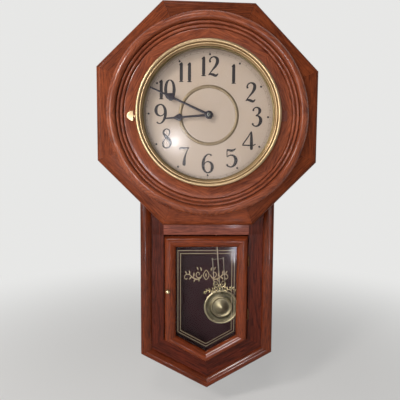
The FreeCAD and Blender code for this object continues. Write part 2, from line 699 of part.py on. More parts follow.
def door():
    """Five mitred frame members with a rebate for the glass, glass and beads, knob and catch."""
    open_x, open_top = "(door_half - door_stile)", "(-(door_top + door_rail))"
    lap_x, lap_top, lap_foot = f"({open_x} + glass_lap)", f"({open_top} + glass_lap)", "(door_foot - glass_lap)"

    def ring_corners(half, top, inset):
        """Corners of one line round the door: top left, top right, right, tip, left."""
        low = foot(half, inset, "door_tip")
        tip = foot("0", inset, "door_tip")
        return [(f"-{half}", top), (half, top), (half, low), ("0", tip), (f"-{half}", low)]

    outer = ring_corners("door_half", "-door_top", "0")
    inner = ring_corners(open_x, open_top, "door_foot")
    lap = ring_corners(lap_x, lap_top, lap_foot)

    def member(label, first, last):
        body = new_body(label, x="door_shift", depth=DOOR_BACK)
        pad(body, "door_thick", [polygon(outer[first], outer[last], inner[last], inner[first])])
        for radius, line in (("door_round", outer), ("door_inner_round", inner)):
            round_edges(body, radius, [tuple((line[i][0], "door_thick", line[i][1]) for i in (first, last))])
        cut(body, "glass_rebate", [polygon(*lap)])
        return body

    keep(group("door_stiles", [member("door_stile_left", 4, 0), member("door_stile_right", 1, 2)]))
    keep(group("door_foot_rails", [member("door_foot_rail_left", 3, 4), member("door_foot_rail_right", 2, 3)]))
    keep(member("door_top_rail", 0, 1))

    pane = new_body("door_glass", x="door_shift", depth=f"{DOOR_BACK} + glass_rebate - glass_thick")
    pad(pane, "glass_thick", [polygon(*ring_corners(
        f"({lap_x} - glass_play)", f"{lap_top} - glass_play", f"({lap_foot} + glass_play)"))])
    keep(pane)

    bead = ring_corners(f"({lap_x} - glass_bead_wide)", f"{lap_top} - glass_bead_wide",
                        f"({lap_foot} + glass_bead_wide)")
    beads = []
    for i in range(5):
        j = (i + 1) % 5
        body = new_body(f"door_glass_bead_{i + 1}", x="door_shift",
                        depth=f"{DOOR_BACK} + glass_rebate - glass_thick - glass_bead_thick")
        pad(body, "glass_bead_thick", [polygon(lap[i], lap[j], bead[j], bead[i])])
        beads.append(body)
    keep(group("door_glass_beads", beads))

    knob = new_body("door_knob", x="-door_half + knob_in + door_shift", depth=DOOR_FRONT,
                    z="-hang_to_dial - knob_drop")
    section = Outline(("0", "knob_bite"))
    section.line("knob_stem / 2", "knob_bite")
    section.line("knob_stem / 2", "-(knob_long - knob_radius - sqrt(knob_radius^2 - (knob_stem / 2)^2))")
    section.arc("0", "-knob_long", "knob_radius", left=False)
    turn(knob, section)
    keep(knob)

    behind = "(case_depth - case_board)"
    magnet_x = "(-door_half + magnet_in + door_shift)"
    keep(block("door_catch_body", f"{magnet_x} + 6 - catch_long", f"{magnet_x} + 6",
               f"{behind} - catch_thick", behind, "-knob_drop - catch_tall / 2", "-knob_drop + catch_tall / 2"))
    keep(rod("door_catch_magnet", magnet_x, "-knob_drop", "magnet_radius", behind,
             f"{DOOR_BACK} - leaf_thick - catch_gap - {behind}"))
    keep(block("door_strike_plate", f"{magnet_x} - strike_wide / 2", f"{magnet_x} + strike_wide / 2",
               f"{DOOR_BACK} - leaf_thick", DOOR_BACK,
               "-knob_drop - strike_tall / 2", "-knob_drop + strike_tall / 2"))


def knuckle_row(label, x, depth, low, tall, kept):
    """Thirds of a hinge barrel, bored for the pin; kept lists which thirds."""
    pieces = []
    for third in kept:
        start = f"({low}) + ({tall}) * {third} / 3 + knuckle_gap / 2"
        name = f"{label}_knuckle_{third + 1}"
        barrel = post(name + "_barrel", x, depth, start, "knuckle_radius", f"({tall}) / 3 - knuckle_gap")
        hole = post(name + "_hole", x, depth, f"{start} - 1", "hinge_pin / 2 + pin_play", f"({tall}) / 3 + 2")
        pieces.append(combine(name, "Cut", barrel, hole))
    return pieces


def hinge_leaf(label, x, depth, low, tall, kept, leaf):
    """A leaf joined to its thirds of the barrel, notched round the other leaf's thirds."""
    item = leaf
    for third in range(3):
        if third not in kept:
            start = f"({low}) + ({tall}) * {third} / 3 - knuckle_gap / 2"
            room = post(f"{label}_room_{third + 1}", x, depth, start, "knuckle_radius + knuckle_gap",
                        f"({tall}) / 3 + knuckle_gap")
            item = combine(f"{label}_notched_{third + 1}", "Cut", item, room)
    bore = post(label + "_bore", x, depth, f"({low}) - 1", "hinge_pin / 2 + pin_play", f"({tall}) + 2")
    item = combine(label + "_clear", "Cut", item, bore)
    for number, barrel in enumerate(knuckle_row(label, x, depth, low, tall, kept), start=1):
        item = combine(f"{label}_joined_{number}", "Fuse", item, barrel)
    return item


def door_hinges():
    """Two butt hinges in the gap at the door's right edge, and their pins."""
    pin_x = "(door_half + door_gap + door_shift)"
    pin_depth = "(case_depth + knuckle_radius + 0.1)"
    case_leaves, door_leaves, pins = [], [], []
    for name, drop in (("upper", "door_hinge_high"), ("lower", "door_hinge_low")):
        low, high = f"-{drop} - door_hinge_tall / 2", f"-{drop} + door_hinge_tall / 2"
        plate = block(f"case_leaf_{name}_plate", f"{pin_x} - leaf_thick", pin_x,
                      f"{pin_depth} - door_leaf_reach", pin_depth, low, high)
        case_leaves.append(
            hinge_leaf(f"case_leaf_{name}", pin_x, pin_depth, low, "door_hinge_tall", (0, 2), plate))
        plate = block(f"door_leaf_{name}_plate", f"{pin_x} - door_gap", f"{pin_x} - door_gap + leaf_thick",
                      f"{pin_depth} - door_leaf_reach", pin_depth, low, high)
        door_leaves.append(hinge_leaf(f"door_leaf_{name}", pin_x, pin_depth, low, "door_hinge_tall", (1,),
                                      plate))
        pins.append(post(f"door_hinge_pin_{name}", pin_x, pin_depth, low, "hinge_pin / 2", "door_hinge_tall"))
    keep(group("door_hinge_case_leaves", case_leaves))
    keep(group("door_hinge_door_leaves", door_leaves))
    keep(group("door_hinge_pins", pins))


# ---------------------------------------------------------------- dial and bezel

def dial():
    """The dial plate on its board, the raised ring and four screws from behind."""
    holes = []
    for number in range(4):
        turn_by = 45 + 90 * number
        holes.append((f"dial_screw_circle / 2 * cos({turn_by})", f"dial_screw_circle / 2 * sin({turn_by})"))
    clearance = "dial_screw_shank / 2"
    for label, back, thick in (("dial_board", BOARD_BACK, "dial_board_thick"),
                               ("dial_plate", DIAL_BACK, "dial_plate_thick")):
        body = new_body(label, depth=back)
        pad(body, thick, circles=[("0", "0", "dial_diameter / 2"), ("0", "0", "tube_radius + glass_play")]
            + [(x, z, clearance) for x, z in holes])
        keep(body)

    ring = new_body("dial_centre_ring")
    outer = "centre_ring_outer / 2"
    section = Outline((outer, "-dial_depth"))
    section.arc(f"{outer} - centre_ring_width", "-dial_depth",
                "(centre_ring_width^2 / 4 + centre_ring_rise^2) / (2 * centre_ring_rise)", left=False)
    turn(ring, section)
    keep(ring)

    screws = []
    for number, (x, z) in enumerate(holes, start=1):
        shank = rod(f"dial_screw_{number}_shank", x, z, "dial_screw_shank / 2", BOARD_BACK,
                    f"dial_depth - {BOARD_BACK} + dial_screw_bite")
        head = rod(f"dial_screw_{number}_head", x, z, "dial_screw_head / 2", f"{BOARD_BACK} - 1.5", "1.5")
        screws.append(combine(f"dial_screw_{number}", "Fuse", shank, head))
    keep(group("dial_screws", screws))


def bezel():
    """The spun brass bezel, its domed glass, the ring behind the glass, pull tab and hinge."""
    back = f"({HEAD_FRONT} + ring_flat + bezel_gap)"
    outer, sight, seat = "(bezel_outer / 2)", "(bezel_sight / 2)", "(glass_seat / 2)"
    lip = "(glass_edge_depth + 0.8)"
    ring = new_body("bezel_ring")
    section = Outline((seat, f"-{back}"))
    section.line(outer, f"-{back}")
    section.line(outer, "-(bezel_front - bezel_roll / 2)")
    section.arc(f"{outer} - bezel_roll / 2", "-bezel_front", "bezel_roll / 2", left=False)
    section.arc(f"{outer} - bezel_roll", "-(bezel_front - bezel_roll / 2)", "bezel_roll / 2", left=False)
    section.arc(f"{outer} - bezel_roll - bezel_bead", "-(bezel_front - bezel_roll / 2 - 0.6)",
                "bezel_bead * 0.57", left=False)
    section.line(sight, f"-({lip} + 1)")
    section.line(sight, f"-{lip}")
    section.line(seat, f"-{lip}")
    turn(ring, section)
    keep(ring)

    edge = f"({seat} - glass_play)"
    dome = f"(({edge}^2 + glass_rise^2) / (2 * glass_rise))"
    glass = new_body("bezel_glass")
    section = Outline(("0", "-(glass_edge_depth + glass_rise - glass_thick)"))
    section.arc(edge, "-(glass_edge_depth - glass_thick)", dome)
    section.line(edge, "-glass_edge_depth")
    section.arc("0", "-(glass_edge_depth + glass_rise)", dome, left=False)
    turn(glass, section)
    keep(glass)

    holder = new_body("bezel_sight_ring")
    face = "(glass_edge_depth - glass_thick)"
    rear = f"-({face} - sight_ring_thick)"
    section = polygon((f"{sight} - 1.5", rear), (seat, rear), (seat, f"-{face}"), (sight, f"-{face}"),
                      (f"{sight} - 1.5", f"-({face} - 1)"))
    turn(holder, section)
    keep(holder)

    tab = new_body("bezel_tab", depth=back)
    flat_x = "(tab_reach - tab_radius)"
    half_moon = Outline((f"-{flat_x}", "-tab_drop + tab_radius"))
    half_moon.arc("-tab_reach", "-tab_drop", "tab_radius")
    half_moon.arc(f"-{flat_x}", "-tab_drop - tab_radius", "tab_radius")
    pad(tab, "tab_thick", [half_moon])
    low_z, high_z = "-tab_drop - tab_neck / 2", "-tab_drop + tab_neck / 2"
    pad(tab, "leaf_thick", [Outline((f"-{flat_x}", high_z)).line(f"-{flat_x}", low_z)
        .line(f"-sqrt({outer}^2 - (tab_drop + tab_neck / 2)^2)", low_z)
        .arc(f"-sqrt({outer}^2 - (tab_neck / 2 - tab_drop)^2)", high_z, outer, left=False)])
    keep(tab)

    pin_x = f"({outer} + bezel_hinge_out)"
    pin_depth = f"({HEAD_FRONT} + ring_flat + knuckle_radius + 0.1)"
    low, high, tall = "-bezel_hinge_tall / 2", "bezel_hinge_tall / 2", "bezel_hinge_tall"
    wood = f"({HEAD_FRONT} + ring_flat)"
    plate = block("bezel_case_leaf_plate", pin_x, f"{pin_x} + bezel_leaf_reach", wood, f"{wood} + leaf_thick",
                  low, high)
    keep(hinge_leaf("bezel_case_leaf", pin_x, pin_depth, low, tall, (0, 2), plate), "bezel_hinge_case_leaf")
    plate = block("bezel_own_leaf_plate", f"{outer} - 1", f"{pin_x} - hinge_pin / 2",
                  f"{pin_depth}", f"{pin_depth} + leaf_thick", f"{low} + {tall} / 3 + knuckle_gap / 2",
                  f"{high} - {tall} / 3 - knuckle_gap / 2")
    rim = rod("bezel_own_leaf_rim", "0", "0", outer, back, "bezel_front")
    plate = combine("bezel_own_leaf_fitted", "Cut", plate, rim)
    keep(hinge_leaf("bezel_own_leaf", pin_x, pin_depth, low, tall, (1,), plate), "bezel_hinge_own_leaf")
    keep(post("bezel_hinge_pin", pin_x, pin_depth, low, "hinge_pin / 2", tall))


# ---------------------------------------------------------------- movement

MOVE_BACK = f"({BOARD_BACK} - move_depth)"
MOVE_SPLIT = f"({BOARD_BACK} - move_split)"
FRONT_WALL = f"({BOARD_BACK} - move_wall)"
BACK_WALL = f"({MOVE_BACK} + move_wall)"
BATTERY_DEPTH = f"({BACK_WALL} + battery_radius + glass_play)"

# teeth of the motion work: the minute arbor's pinion drives the motion wheel, whose own pinion
# drives the hour wheel at a twelfth of the speed; the setting knob's pinion drives the wheel too
ARBOR_TEETH, MOTION_TEETH = 10, 30
MOTION_PINION_TEETH, HOUR_TEETH = 8, 32
KNOB_TEETH, ROTOR_TEETH = 10, 8
WHEEL_SPACING = "(tooth_module * 20)"
MOTION_X, MOTION_Z = f"({WHEEL_SPACING} * cos(train_bearing))", f"({WHEEL_SPACING} * sin(train_bearing))"
KNOB_X, KNOB_Z = f"(2 * {MOTION_X})", f"(2 * {MOTION_Z})"


def tooth_outline(teeth, module, phase):
    """A wheel's outline in x and z: each tooth narrows from its root to its tip."""
    pitch = 2 * math.pi / teeth
    radius = teeth * module / 2
    steps = [(-0.30, radius - 1.15 * module), (-0.21, radius), (-0.08, radius + 0.8 * module),
             (0.08, radius + 0.8 * module), (0.21, radius), (0.30, radius - 1.15 * module)]
    points = []
    for tooth in range(teeth):
        middle = math.radians(phase) + tooth * pitch
        points += [V(r * math.cos(middle + share * pitch), 0, r * math.sin(middle + share * pitch))
                   for share, r in steps]
    return Part.makePolygon(points + points[:1])


def stack(label, x, z, steps, bores=()):
    """Discs and toothed wheels on one axis along Y, fused, then bored. Depths are from the wall."""
    shape = None
    for size, back, front, phase in steps:
        back, front = num(back), num(front)
        if phase is None:
            layer = Part.makeCylinder(num(size), front - back, V(0, -back, 0), V(0, -1, 0))
        else:
            layer = Part.Face(tooth_outline(size, num("tooth_module"), phase)).extrude(V(0, back - front, 0))
            layer.translate(V(0, -back, 0))
        shape = layer if shape is None else shape.fuse(layer)
    for size, back, front in bores:
        hole = Part.makeCylinder(num(size), num(front) - num(back), V(0, -num(back), 0), V(0, -1, 0))
        shape = shape.cut(hole)
    feature = doc.addObject("Part::Feature", label)
    feature.Label = label
    feature.Shape = shape.removeSplitter()
    feature.Placement = FreeCAD.Placement(V(num(x), 0, num(f"{z} - hang_to_dial")), FreeCAD.Rotation())
    return keep(feature)


def movement_cases():
    """Two plastic halves. The front one has the threaded tube and studs, the back one the battery bay."""
    outer = box_outline("-move_half", "-move_bottom", "move_half", "move_top")
    inner = box_outline("-move_half + move_wall", "-move_bottom + move_wall",
                        "move_half - move_wall", "move_top - move_wall")

    front = new_body("movement_front_case", depth=MOVE_SPLIT)
    pad(front, "move_split", [outer])
    cut(front, "move_split - move_wall", [inner])
    pad(front, "dial_depth + tube_out - " + BOARD_BACK, circles=[("0", "0", "tube_radius")], start="move_split")
    cut(front, "move_depth * 2", circles=[("0", "0", "pipe_radius + fit_play")], start="move_split - move_wall")
    pad(front, f"{FRONT_WALL} - {MOVE_SPLIT} - stud_stop", circles=[(MOTION_X, MOTION_Z, "stud_radius")],
        start="stud_stop")
    pad(front, "post_long", circles=[(x, "rotor_z - 5", "1.5") for x in ("rotor_x - 6", "rotor_x + 23")],
        start="move_split - move_wall - post_long")
    for x, z, radius, long, bore, deep in (
            (KNOB_X, KNOB_Z, "stud_radius + 1.3", "knob_boss_long", "stud_radius + fit_play", "knob_boss_bore"),
            ("rotor_x", "rotor_z", "rotor_pivot + 1", "rotor_boss_long", "rotor_pivot + fit_play",
             "rotor_boss_bore")):
        start = f"move_split - move_wall - {long}"
        pad(front, long, circles=[(x, z, radius)], start=start)
        cut(front, deep, circles=[(x, z, bore)], start=start)
    keep(front)

    back = new_body("movement_back_case", depth=MOVE_BACK)
    pad(back, "move_depth - move_split", [outer])
    cut(back, "move_depth", [inner], start="move_wall")
    pad(back, "foot_boss_long", circles=[("0", "0", "arbor_foot + 2")], start="move_wall")
    cut(back, "foot_boss_bore", circles=[("0", "0", "arbor_foot + fit_play")],
        start="move_wall + foot_boss_long - foot_boss_bore")
    cut(back, "move_wall", circles=[(KNOB_X, KNOB_Z, "arbor_radius + fit_play")])
    window = "(battery_long / 2 - 1)"
    cut(back, "move_wall", [box_outline(
        f"-{window}", "-battery_drop - battery_radius", window, "-battery_drop + battery_radius")])
    near, far = "(battery_long / 2 + battery_end)", "(battery_long / 2 + battery_end + battery_wall)"
    low, high = "-battery_drop - battery_radius - 1", "-battery_drop + battery_radius + 1"
    pad(back, "move_depth - move_split - move_wall", [
        box_outline(near, low, far, high), box_outline(f"-{far}", low, f"-{near}", high)], start="move_wall")
    keep(back)


def movement_electrics():
    """Battery and its contacts, circuit board, step motor and the pendulum's coil."""
    battery = doc.addObject("Part::Cylinder", "battery")
    battery.Placement.Rotation = FreeCAD.Rotation(V(0, 1, 0), 90)
    battery.setExpression("Radius", bound("battery_radius"))
    battery.setExpression("Height", bound("battery_long"))
    place(battery, "-battery_long / 2", BATTERY_DEPTH, "-battery_drop - hang_to_dial")
    keep(battery, "battery")
    contacts = []
    for name, hand in (("left", "-battery_long / 2 - battery_end"), ("right", "battery_long / 2")):
        contacts.append(block(f"contact_{name}", hand, f"{hand} + battery_end", f"{BATTERY_DEPTH} - 5",
                              f"{BATTERY_DEPTH} + 4", "-battery_drop - 5", "-battery_drop + 5"))
    keep(group("battery_contacts", contacts))
    keep(block("circuit_board", "10", "32", f"{FRONT_WALL} - 1", FRONT_WALL, "10", "28"))

    plane = f"({FRONT_WALL} - post_long)"
    stator = new_body("stepper_stator", depth=f"{plane} - stator_thick")
    pad(stator, "stator_thick", [
        box_outline("rotor_x - 9", "rotor_z - 7", "rotor_x + 25", "rotor_z + 12"),
        box_outline("rotor_x + 7", "rotor_z - 3", "rotor_x + 20", "rotor_z + 7")],
        circles=[("rotor_x", "rotor_z", "rotor_radius + 0.4")])
    keep(stator)
    wound = doc.addObject("Part::Cylinder", "coil_winding")
    wound.Placement.Rotation = FreeCAD.Rotation(V(0, 1, 0), 90)
    wound.setExpression("Radius", bound("coil_radius"))
    wound.setExpression("Height", bound("coil_long"))
    place(wound, "rotor_x + 8", f"{plane} - stator_thick / 2", "rotor_z + 9.5 - hang_to_dial")
    leg = block("coil_room", "rotor_x + 7", "rotor_x + 25", f"{plane} - stator_thick", plane,
                "rotor_z + 7", "rotor_z + 12")
    keep(combine("stepper_coil", "Cut", wound, leg))
    keep(rod("pendulum_drive_coil", "0", "pivot_rise - drive_drop", "drive_coil_radius", BACK_WALL,
             "drive_coil_long"))


def movement_wheels():
    """Minute arbor, motion wheel, hour wheel, setting knob and the motor's rotor."""
    bearing = num("train_bearing")
    half = 180
    hand_top = "minute_hand_depth + hand_thick"
    stack("minute_arbor", "0", "0", [
        ("arbor_foot", f"{BACK_WALL} + foot_boss_long - foot_boss_bore + 0.4",
         f"{BACK_WALL} + foot_boss_long + 0.1", None),
        ("arbor_radius", f"{BACK_WALL} + foot_boss_long + 0.1", "minute_hand_depth", None),
        (ARBOR_TEETH, f"{MOVE_SPLIT} + 1.8", f"{MOVE_SPLIT} + 4.2", bearing),
        ("arbor_neck", "minute_hand_depth", hand_top + " + 1.6", None)])
    stack("motion_wheel", MOTION_X, MOTION_Z, [
        (MOTION_TEETH, f"{MOVE_SPLIT} + 2.4", f"{MOVE_SPLIT} + 3.6", bearing + half + half / MOTION_TEETH),
        (MOTION_PINION_TEETH, f"{MOVE_SPLIT} + 3.6", f"{MOVE_SPLIT} + 7", bearing + half)],
        bores=[("stud_radius + fit_play", MOVE_SPLIT, BOARD_BACK)])
    stack("hour_wheel", "0", "0", [
        (HOUR_TEETH, f"{MOVE_SPLIT} + 5", f"{MOVE_SPLIT} + 6.4", bearing + half / HOUR_TEETH),
        ("pipe_radius", f"{MOVE_SPLIT} + 5", "hour_hand_depth + hand_thick", None)],
        bores=[("arbor_radius + fit_play", MOVE_SPLIT, "minute_hand_depth")])
    stack("set_knob", KNOB_X, KNOB_Z, [
        ("set_knob_radius", f"{MOVE_BACK} - set_knob_long", f"{MOVE_BACK} - glass_play", None),
        ("arbor_radius", f"{MOVE_BACK} - glass_play", f"{MOVE_SPLIT} + 4.2", None),
        (KNOB_TEETH, f"{MOVE_SPLIT} + 2.2", f"{MOVE_SPLIT} + 3.8", bearing + half),
        ("stud_radius", f"{MOVE_SPLIT} + 4.2", f"{FRONT_WALL} - knob_boss_long + knob_boss_bore - 0.6", None)])
    stack("stepper_rotor", "rotor_x", "rotor_z", [
        ("rotor_pivot", f"{MOVE_SPLIT} + 1", f"{FRONT_WALL} - rotor_boss_long + rotor_boss_bore - 0.2", None),
        (ROTOR_TEETH, f"{MOVE_SPLIT} + 1.4", f"{MOVE_SPLIT} + 3", 0),
        ("rotor_radius", f"{MOVE_SPLIT} + 3.6", f"{MOVE_SPLIT} + 7.6", None)])


def hands():
    """Spade hands, the hexagon nut round the centre tube and the nut on the minute arbor."""
    def hand(label, depth, length, bulb, bulb_half, bore, angle):
        body = new_body(label, depth=depth)
        body.Placement.Rotation = FreeCAD.Rotation(V(0, 1, 0), num(angle))
        shape = Outline(("hand_half", "0"))
        shape.line("hand_neck", f"{bulb} - {bulb_half}")
        shape.arc(bulb_half, bulb, f"1.05 * {bulb_half}")
        shape.line("0.9", f"{bulb} + 1.7 * {bulb_half}").line("0.4", length)
        shape.line("-0.4", length).line("-0.9", f"{bulb} + 1.7 * {bulb_half}")
        shape.line(f"-{bulb_half}", bulb)
        shape.arc("-hand_neck", f"{bulb} - {bulb_half}", f"1.05 * {bulb_half}")
        shape.line("-hand_half", "0")
        pad(body, "hand_thick", [shape])
        pad(body, "hand_thick", circles=[("0", "0", "hand_boss")])
        cut(body, "hand_thick", circles=[("0", "0", bore)])
        keep(body)

    hand("minute_hand", "minute_hand_depth", "minute_length", "minute_bulb", "minute_bulb_half", "arbor_neck",
         "6 * show_minute")
    hand("hour_hand", "hour_hand_depth", "hour_length", "hour_bulb", "hour_bulb_half", "pipe_radius",
         "30 * show_hour + show_minute / 2")

    nut = new_body("centre_nut", depth="dial_depth")
    pad(nut, "nut_thick", [polygon(*[
        (f"nut_radius * cos({60 * side})", f"nut_radius * sin({60 * side})") for side in range(6)])],
        circles=[("0", "0", "tube_radius")])
    keep(nut)
    cap = new_body("hand_cap_nut", depth="minute_hand_depth + hand_thick")
    pad(cap, "cap_thick", circles=[("0", "0", "cap_radius")])
    cut(cap, "1.6", circles=[("0", "0", "arbor_neck")])
    keep(cap)


# ---------------------------------------------------------------- pendulum

def pendulum():
    """Plastic hanger on its pin, three brass rods, scroll plate and a bob of two shells."""
    end = "(pendulum_depth - pin_behind)"
    pin = rod("pivot_pin_shank", "0", "pivot_rise", "pivot_pin / 2", end, f"{MOVE_BACK} - {end}")
    collar = rod("pivot_pin_collar", "0", "pivot_rise", "pivot_pin / 2 + collar_wide", end, "collar_thick")
    keep(combine("pendulum_pivot_pin", "Fuse", pin, collar))

    def hung(label, depth="pendulum_depth"):
        body = new_body(label, depth=depth, z="pivot_rise - hang_to_dial")
        body.Placement.Rotation = FreeCAD.Rotation(V(0, 1, 0), -num("swing_rest"))
        return body

    arm = hung("pendulum_hanger", "pendulum_depth - hanger_arm_thick")
    eye = "hanger_arm_half"
    shape = Outline((eye, "0"))
    shape.arc("0", eye, eye).arc(f"-{eye}", "0", eye)
    shape.line(f"-{eye}", "-hanger_arm_long").line(eye, "-hanger_arm_long")
    pad(arm, "hanger_arm_thick", [shape], circles=[("0", "0", "pivot_pin / 2 + fit_play")])
    magnet_back = f"({MOVE_BACK} - drive_gap - drive_magnet_thick)"
    pad(arm, f"{magnet_back} - pendulum_depth", circles=[("0", "-drive_drop", "drive_magnet_radius + 1")],
        start="hanger_arm_thick")
    keep(arm)
    magnet = hung("pendulum_magnet", magnet_back)
    pad(magnet, "drive_magnet_thick", circles=[("0", "-drive_drop", "drive_magnet_radius")])
    keep(magnet)

    middle = hung("middle_rod")
    pad(middle, "rod_thick", [box_outline(
        "-rod_width / 2", "-bob_drop", "rod_width / 2", "-hanger_arm_long + rod_hold")])
    left, right = hung("side_rod_left"), hung("side_rod_right")
    for body, sign in ((left, "-"), (right, "")):
        x = f"({sign}rod_spacing)"
        pad(body, "rod_thick", [box_outline(
            f"{x} - side_rod_radius", "-lyre_top - 10", f"{x} + side_rod_radius", "-side_rod_top")])
    bar = hung("rod_crossbar", "pendulum_depth + rod_thick")
    pad(bar, "1", [box_outline("-rod_spacing - 1.4", "-side_rod_top - 3.4",
                               "rod_spacing + 1.4", "-side_rod_top - 1.4")])
    keep(group("pendulum_rods", [middle, left, right, bar]))

    lyre = hung("pendulum_lyre", "pendulum_depth + rod_thick")
    spacer = "lyre_forward"
    bob_top = "(-bob_drop + bob_radius)"
    pad(lyre, spacer, [box_outline("-rod_spacing - 1.4", "-lyre_top - 9",
                                   "rod_spacing + 1.4", "-lyre_top - 5")])
    pad(lyre, "1", [polygon(
        ("-31", f"{bob_top} - 1"), ("-14", f"{bob_top} + 3"), ("-12", "-lyre_top - 4"), ("12", "-lyre_top - 4"),
        ("14", f"{bob_top} + 3"), ("31", f"{bob_top} - 1"), ("20", f"{bob_top} - 6"), ("0", f"{bob_top} - 9"),
        ("-20", f"{bob_top} - 6"))], start=spacer)
    pad(lyre, "1", circles=[("-7.5", "-lyre_top", "5.4"), ("7.5", "-lyre_top", "5.4"),
                            ("-7.5", "-lyre_top", "3.8"), ("7.5", "-lyre_top", "3.8")], start=spacer)
    keep(lyre)

    def bob_body(label):
        body = hung(label)
        angle = math.radians(num("swing_rest"))
        centre = V(num("bob_drop") * math.sin(angle), 0, -num("bob_drop") * math.cos(angle))
        body.setExpression(".Placement.Base.x", None)
        body.setExpression(".Placement.Base.z", None)
        body.Placement.Base = V(centre.x, -num("pendulum_depth"), num("pivot_rise - hang_to_dial") + centre.z)
        return body

    back = bob_body("bob_back")
    low, high = "rod_thick", "(rod_thick + bob_shell)"
    section = polygon(("0", f"-{low}"), ("bob_radius - bob_shell - 0.2", f"-{low}"),
                      ("bob_radius - bob_shell - 0.2", f"-{high}"), ("0", f"-{high}"))
    turn(back, section)
    keep(back)
    front = bob_body("bob_front")
    field, ridge, boss = "(rod_thick + 2.4)", "(rod_thick + 4.4)", "(rod_thick + bob_thick - 1.6)"
    section = Outline(("bob_radius", f"-{low}"))
    section.line("bob_radius", f"-{low} - 2.6")
    section.arc("bob_radius - 4.6", f"-{low} - 2.8", "2.5", left=False)
    section.line("bob_radius * 0.62", f"-{field}").line("bob_radius * 0.56", f"-{ridge}")
    section.line("bob_radius * 0.3", f"-{ridge}").line("0", f"-{boss}").line("0", f"-{boss} + bob_shell")
    section.line("bob_radius * 0.28", f"-{ridge} + bob_shell")
    section.line("bob_radius * 0.53", f"-{ridge} + bob_shell")
    section.line("bob_radius * 0.59", f"-{field} + bob_shell").line("bob_radius - 4.9", f"-{low} - 1.8")
    section.arc("bob_radius - bob_shell", f"-{low} - 2.2", "2.2", left=True)
    section.line("bob_radius - bob_shell", f"-{low}")
    turn(front, section)
    keep(front)


head_octagon()
head_ring()
case_box()
hanger()
trunk_front()
door()
door_hinges()
dial()
bezel()
movement_cases()
movement_electrics()
movement_wheels()
hands()
pendulum()


# ---------------------------------------------------------------- checks and files

def write_parts():
    """Stops on any failed feature or shape, then writes one STEP file for each sub-part."""
    doc.recompute()
    for item in doc.Objects:
        if "Invalid" in item.State or "Error" in item.State:
            raise RuntimeError(f"{item.Label}: {item.State}")
    os.makedirs("parts", exist_ok=True)
    for item in parts:
        if item.Shape.isNull() or not item.Shape.isValid() or not item.Shape.Solids:
            raise RuntimeError(f"{item.Label}: no valid solid")
        item.Shape.exportStep(os.path.join("parts", item.Label + ".step"))
    print(f"{len(parts)} sub-parts, {sum(len(item.Shape.Solids) for item in parts)} solids")


write_parts()
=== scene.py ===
"""Looks of a pendulum wall clock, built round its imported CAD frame."""
import math

import bmesh
import bpy
import numpy as np
from bpy.props import FloatProperty, FloatVectorProperty, PointerProperty
from mathutils import Matrix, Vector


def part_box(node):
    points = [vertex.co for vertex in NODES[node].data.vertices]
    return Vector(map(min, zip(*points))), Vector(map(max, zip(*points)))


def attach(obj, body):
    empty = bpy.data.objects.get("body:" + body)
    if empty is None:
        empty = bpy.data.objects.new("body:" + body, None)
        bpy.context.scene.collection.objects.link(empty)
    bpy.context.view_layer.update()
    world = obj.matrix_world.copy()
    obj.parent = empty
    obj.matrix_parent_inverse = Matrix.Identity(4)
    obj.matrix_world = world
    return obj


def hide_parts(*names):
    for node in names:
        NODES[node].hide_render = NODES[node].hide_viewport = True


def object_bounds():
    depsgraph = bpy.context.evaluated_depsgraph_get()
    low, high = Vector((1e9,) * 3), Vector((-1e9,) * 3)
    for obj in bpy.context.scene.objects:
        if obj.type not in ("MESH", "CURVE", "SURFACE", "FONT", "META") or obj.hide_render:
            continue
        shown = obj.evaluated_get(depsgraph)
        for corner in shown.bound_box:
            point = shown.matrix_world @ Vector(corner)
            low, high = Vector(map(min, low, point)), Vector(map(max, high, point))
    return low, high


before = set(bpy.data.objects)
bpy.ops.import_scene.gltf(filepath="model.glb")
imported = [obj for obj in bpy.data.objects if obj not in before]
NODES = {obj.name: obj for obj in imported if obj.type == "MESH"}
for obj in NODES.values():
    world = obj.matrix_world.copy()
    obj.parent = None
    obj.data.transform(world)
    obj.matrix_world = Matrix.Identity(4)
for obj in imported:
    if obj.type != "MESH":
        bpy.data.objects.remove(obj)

bpy.context.view_layer.update()
CAD_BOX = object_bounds()

bl_info = {
    "name": "Pendulum Wall Clock",
    "version": (1, 0, 0),
    "blender": (4, 5, 0),
    "location": "View3D > Sidebar > Clock",
    "description": "Finishes and fine surfaces of a pendulum wall clock",
    "category": "Object",
}


def linear(red, green, blue):
    """A display colour, 0 to 255, as linear light."""
    c = np.array([red, green, blue]) / 255
    return tuple(float(v) for v in np.where(c <= 0.04045, c / 12.92, ((c + 0.055) / 1.055) ** 2.4))


def toned(colour, *by, lift=0.0):
    """A colour whose channels are multiplied, by one number or by three, then lifted, up to 1."""
    return tuple(min(1.0, c * k + lift) for c, k in zip(colour, by * 3))


# ---------------------------------------------------------------- lines of the clock, in millimetres

class Extent:
    """How far a frame node reaches, in millimetres. Back and front are depths, so y is their negative."""

    def __init__(self, node):
        low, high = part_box(node)
        self.left, self.front, self.foot = low[0] * 1000, -low[1] * 1000, low[2] * 1000
        self.right, self.back, self.top = high[0] * 1000, -high[1] * 1000, high[2] * 1000
        self.x, self.z = (self.left + self.right) / 2, (self.foot + self.top) / 2


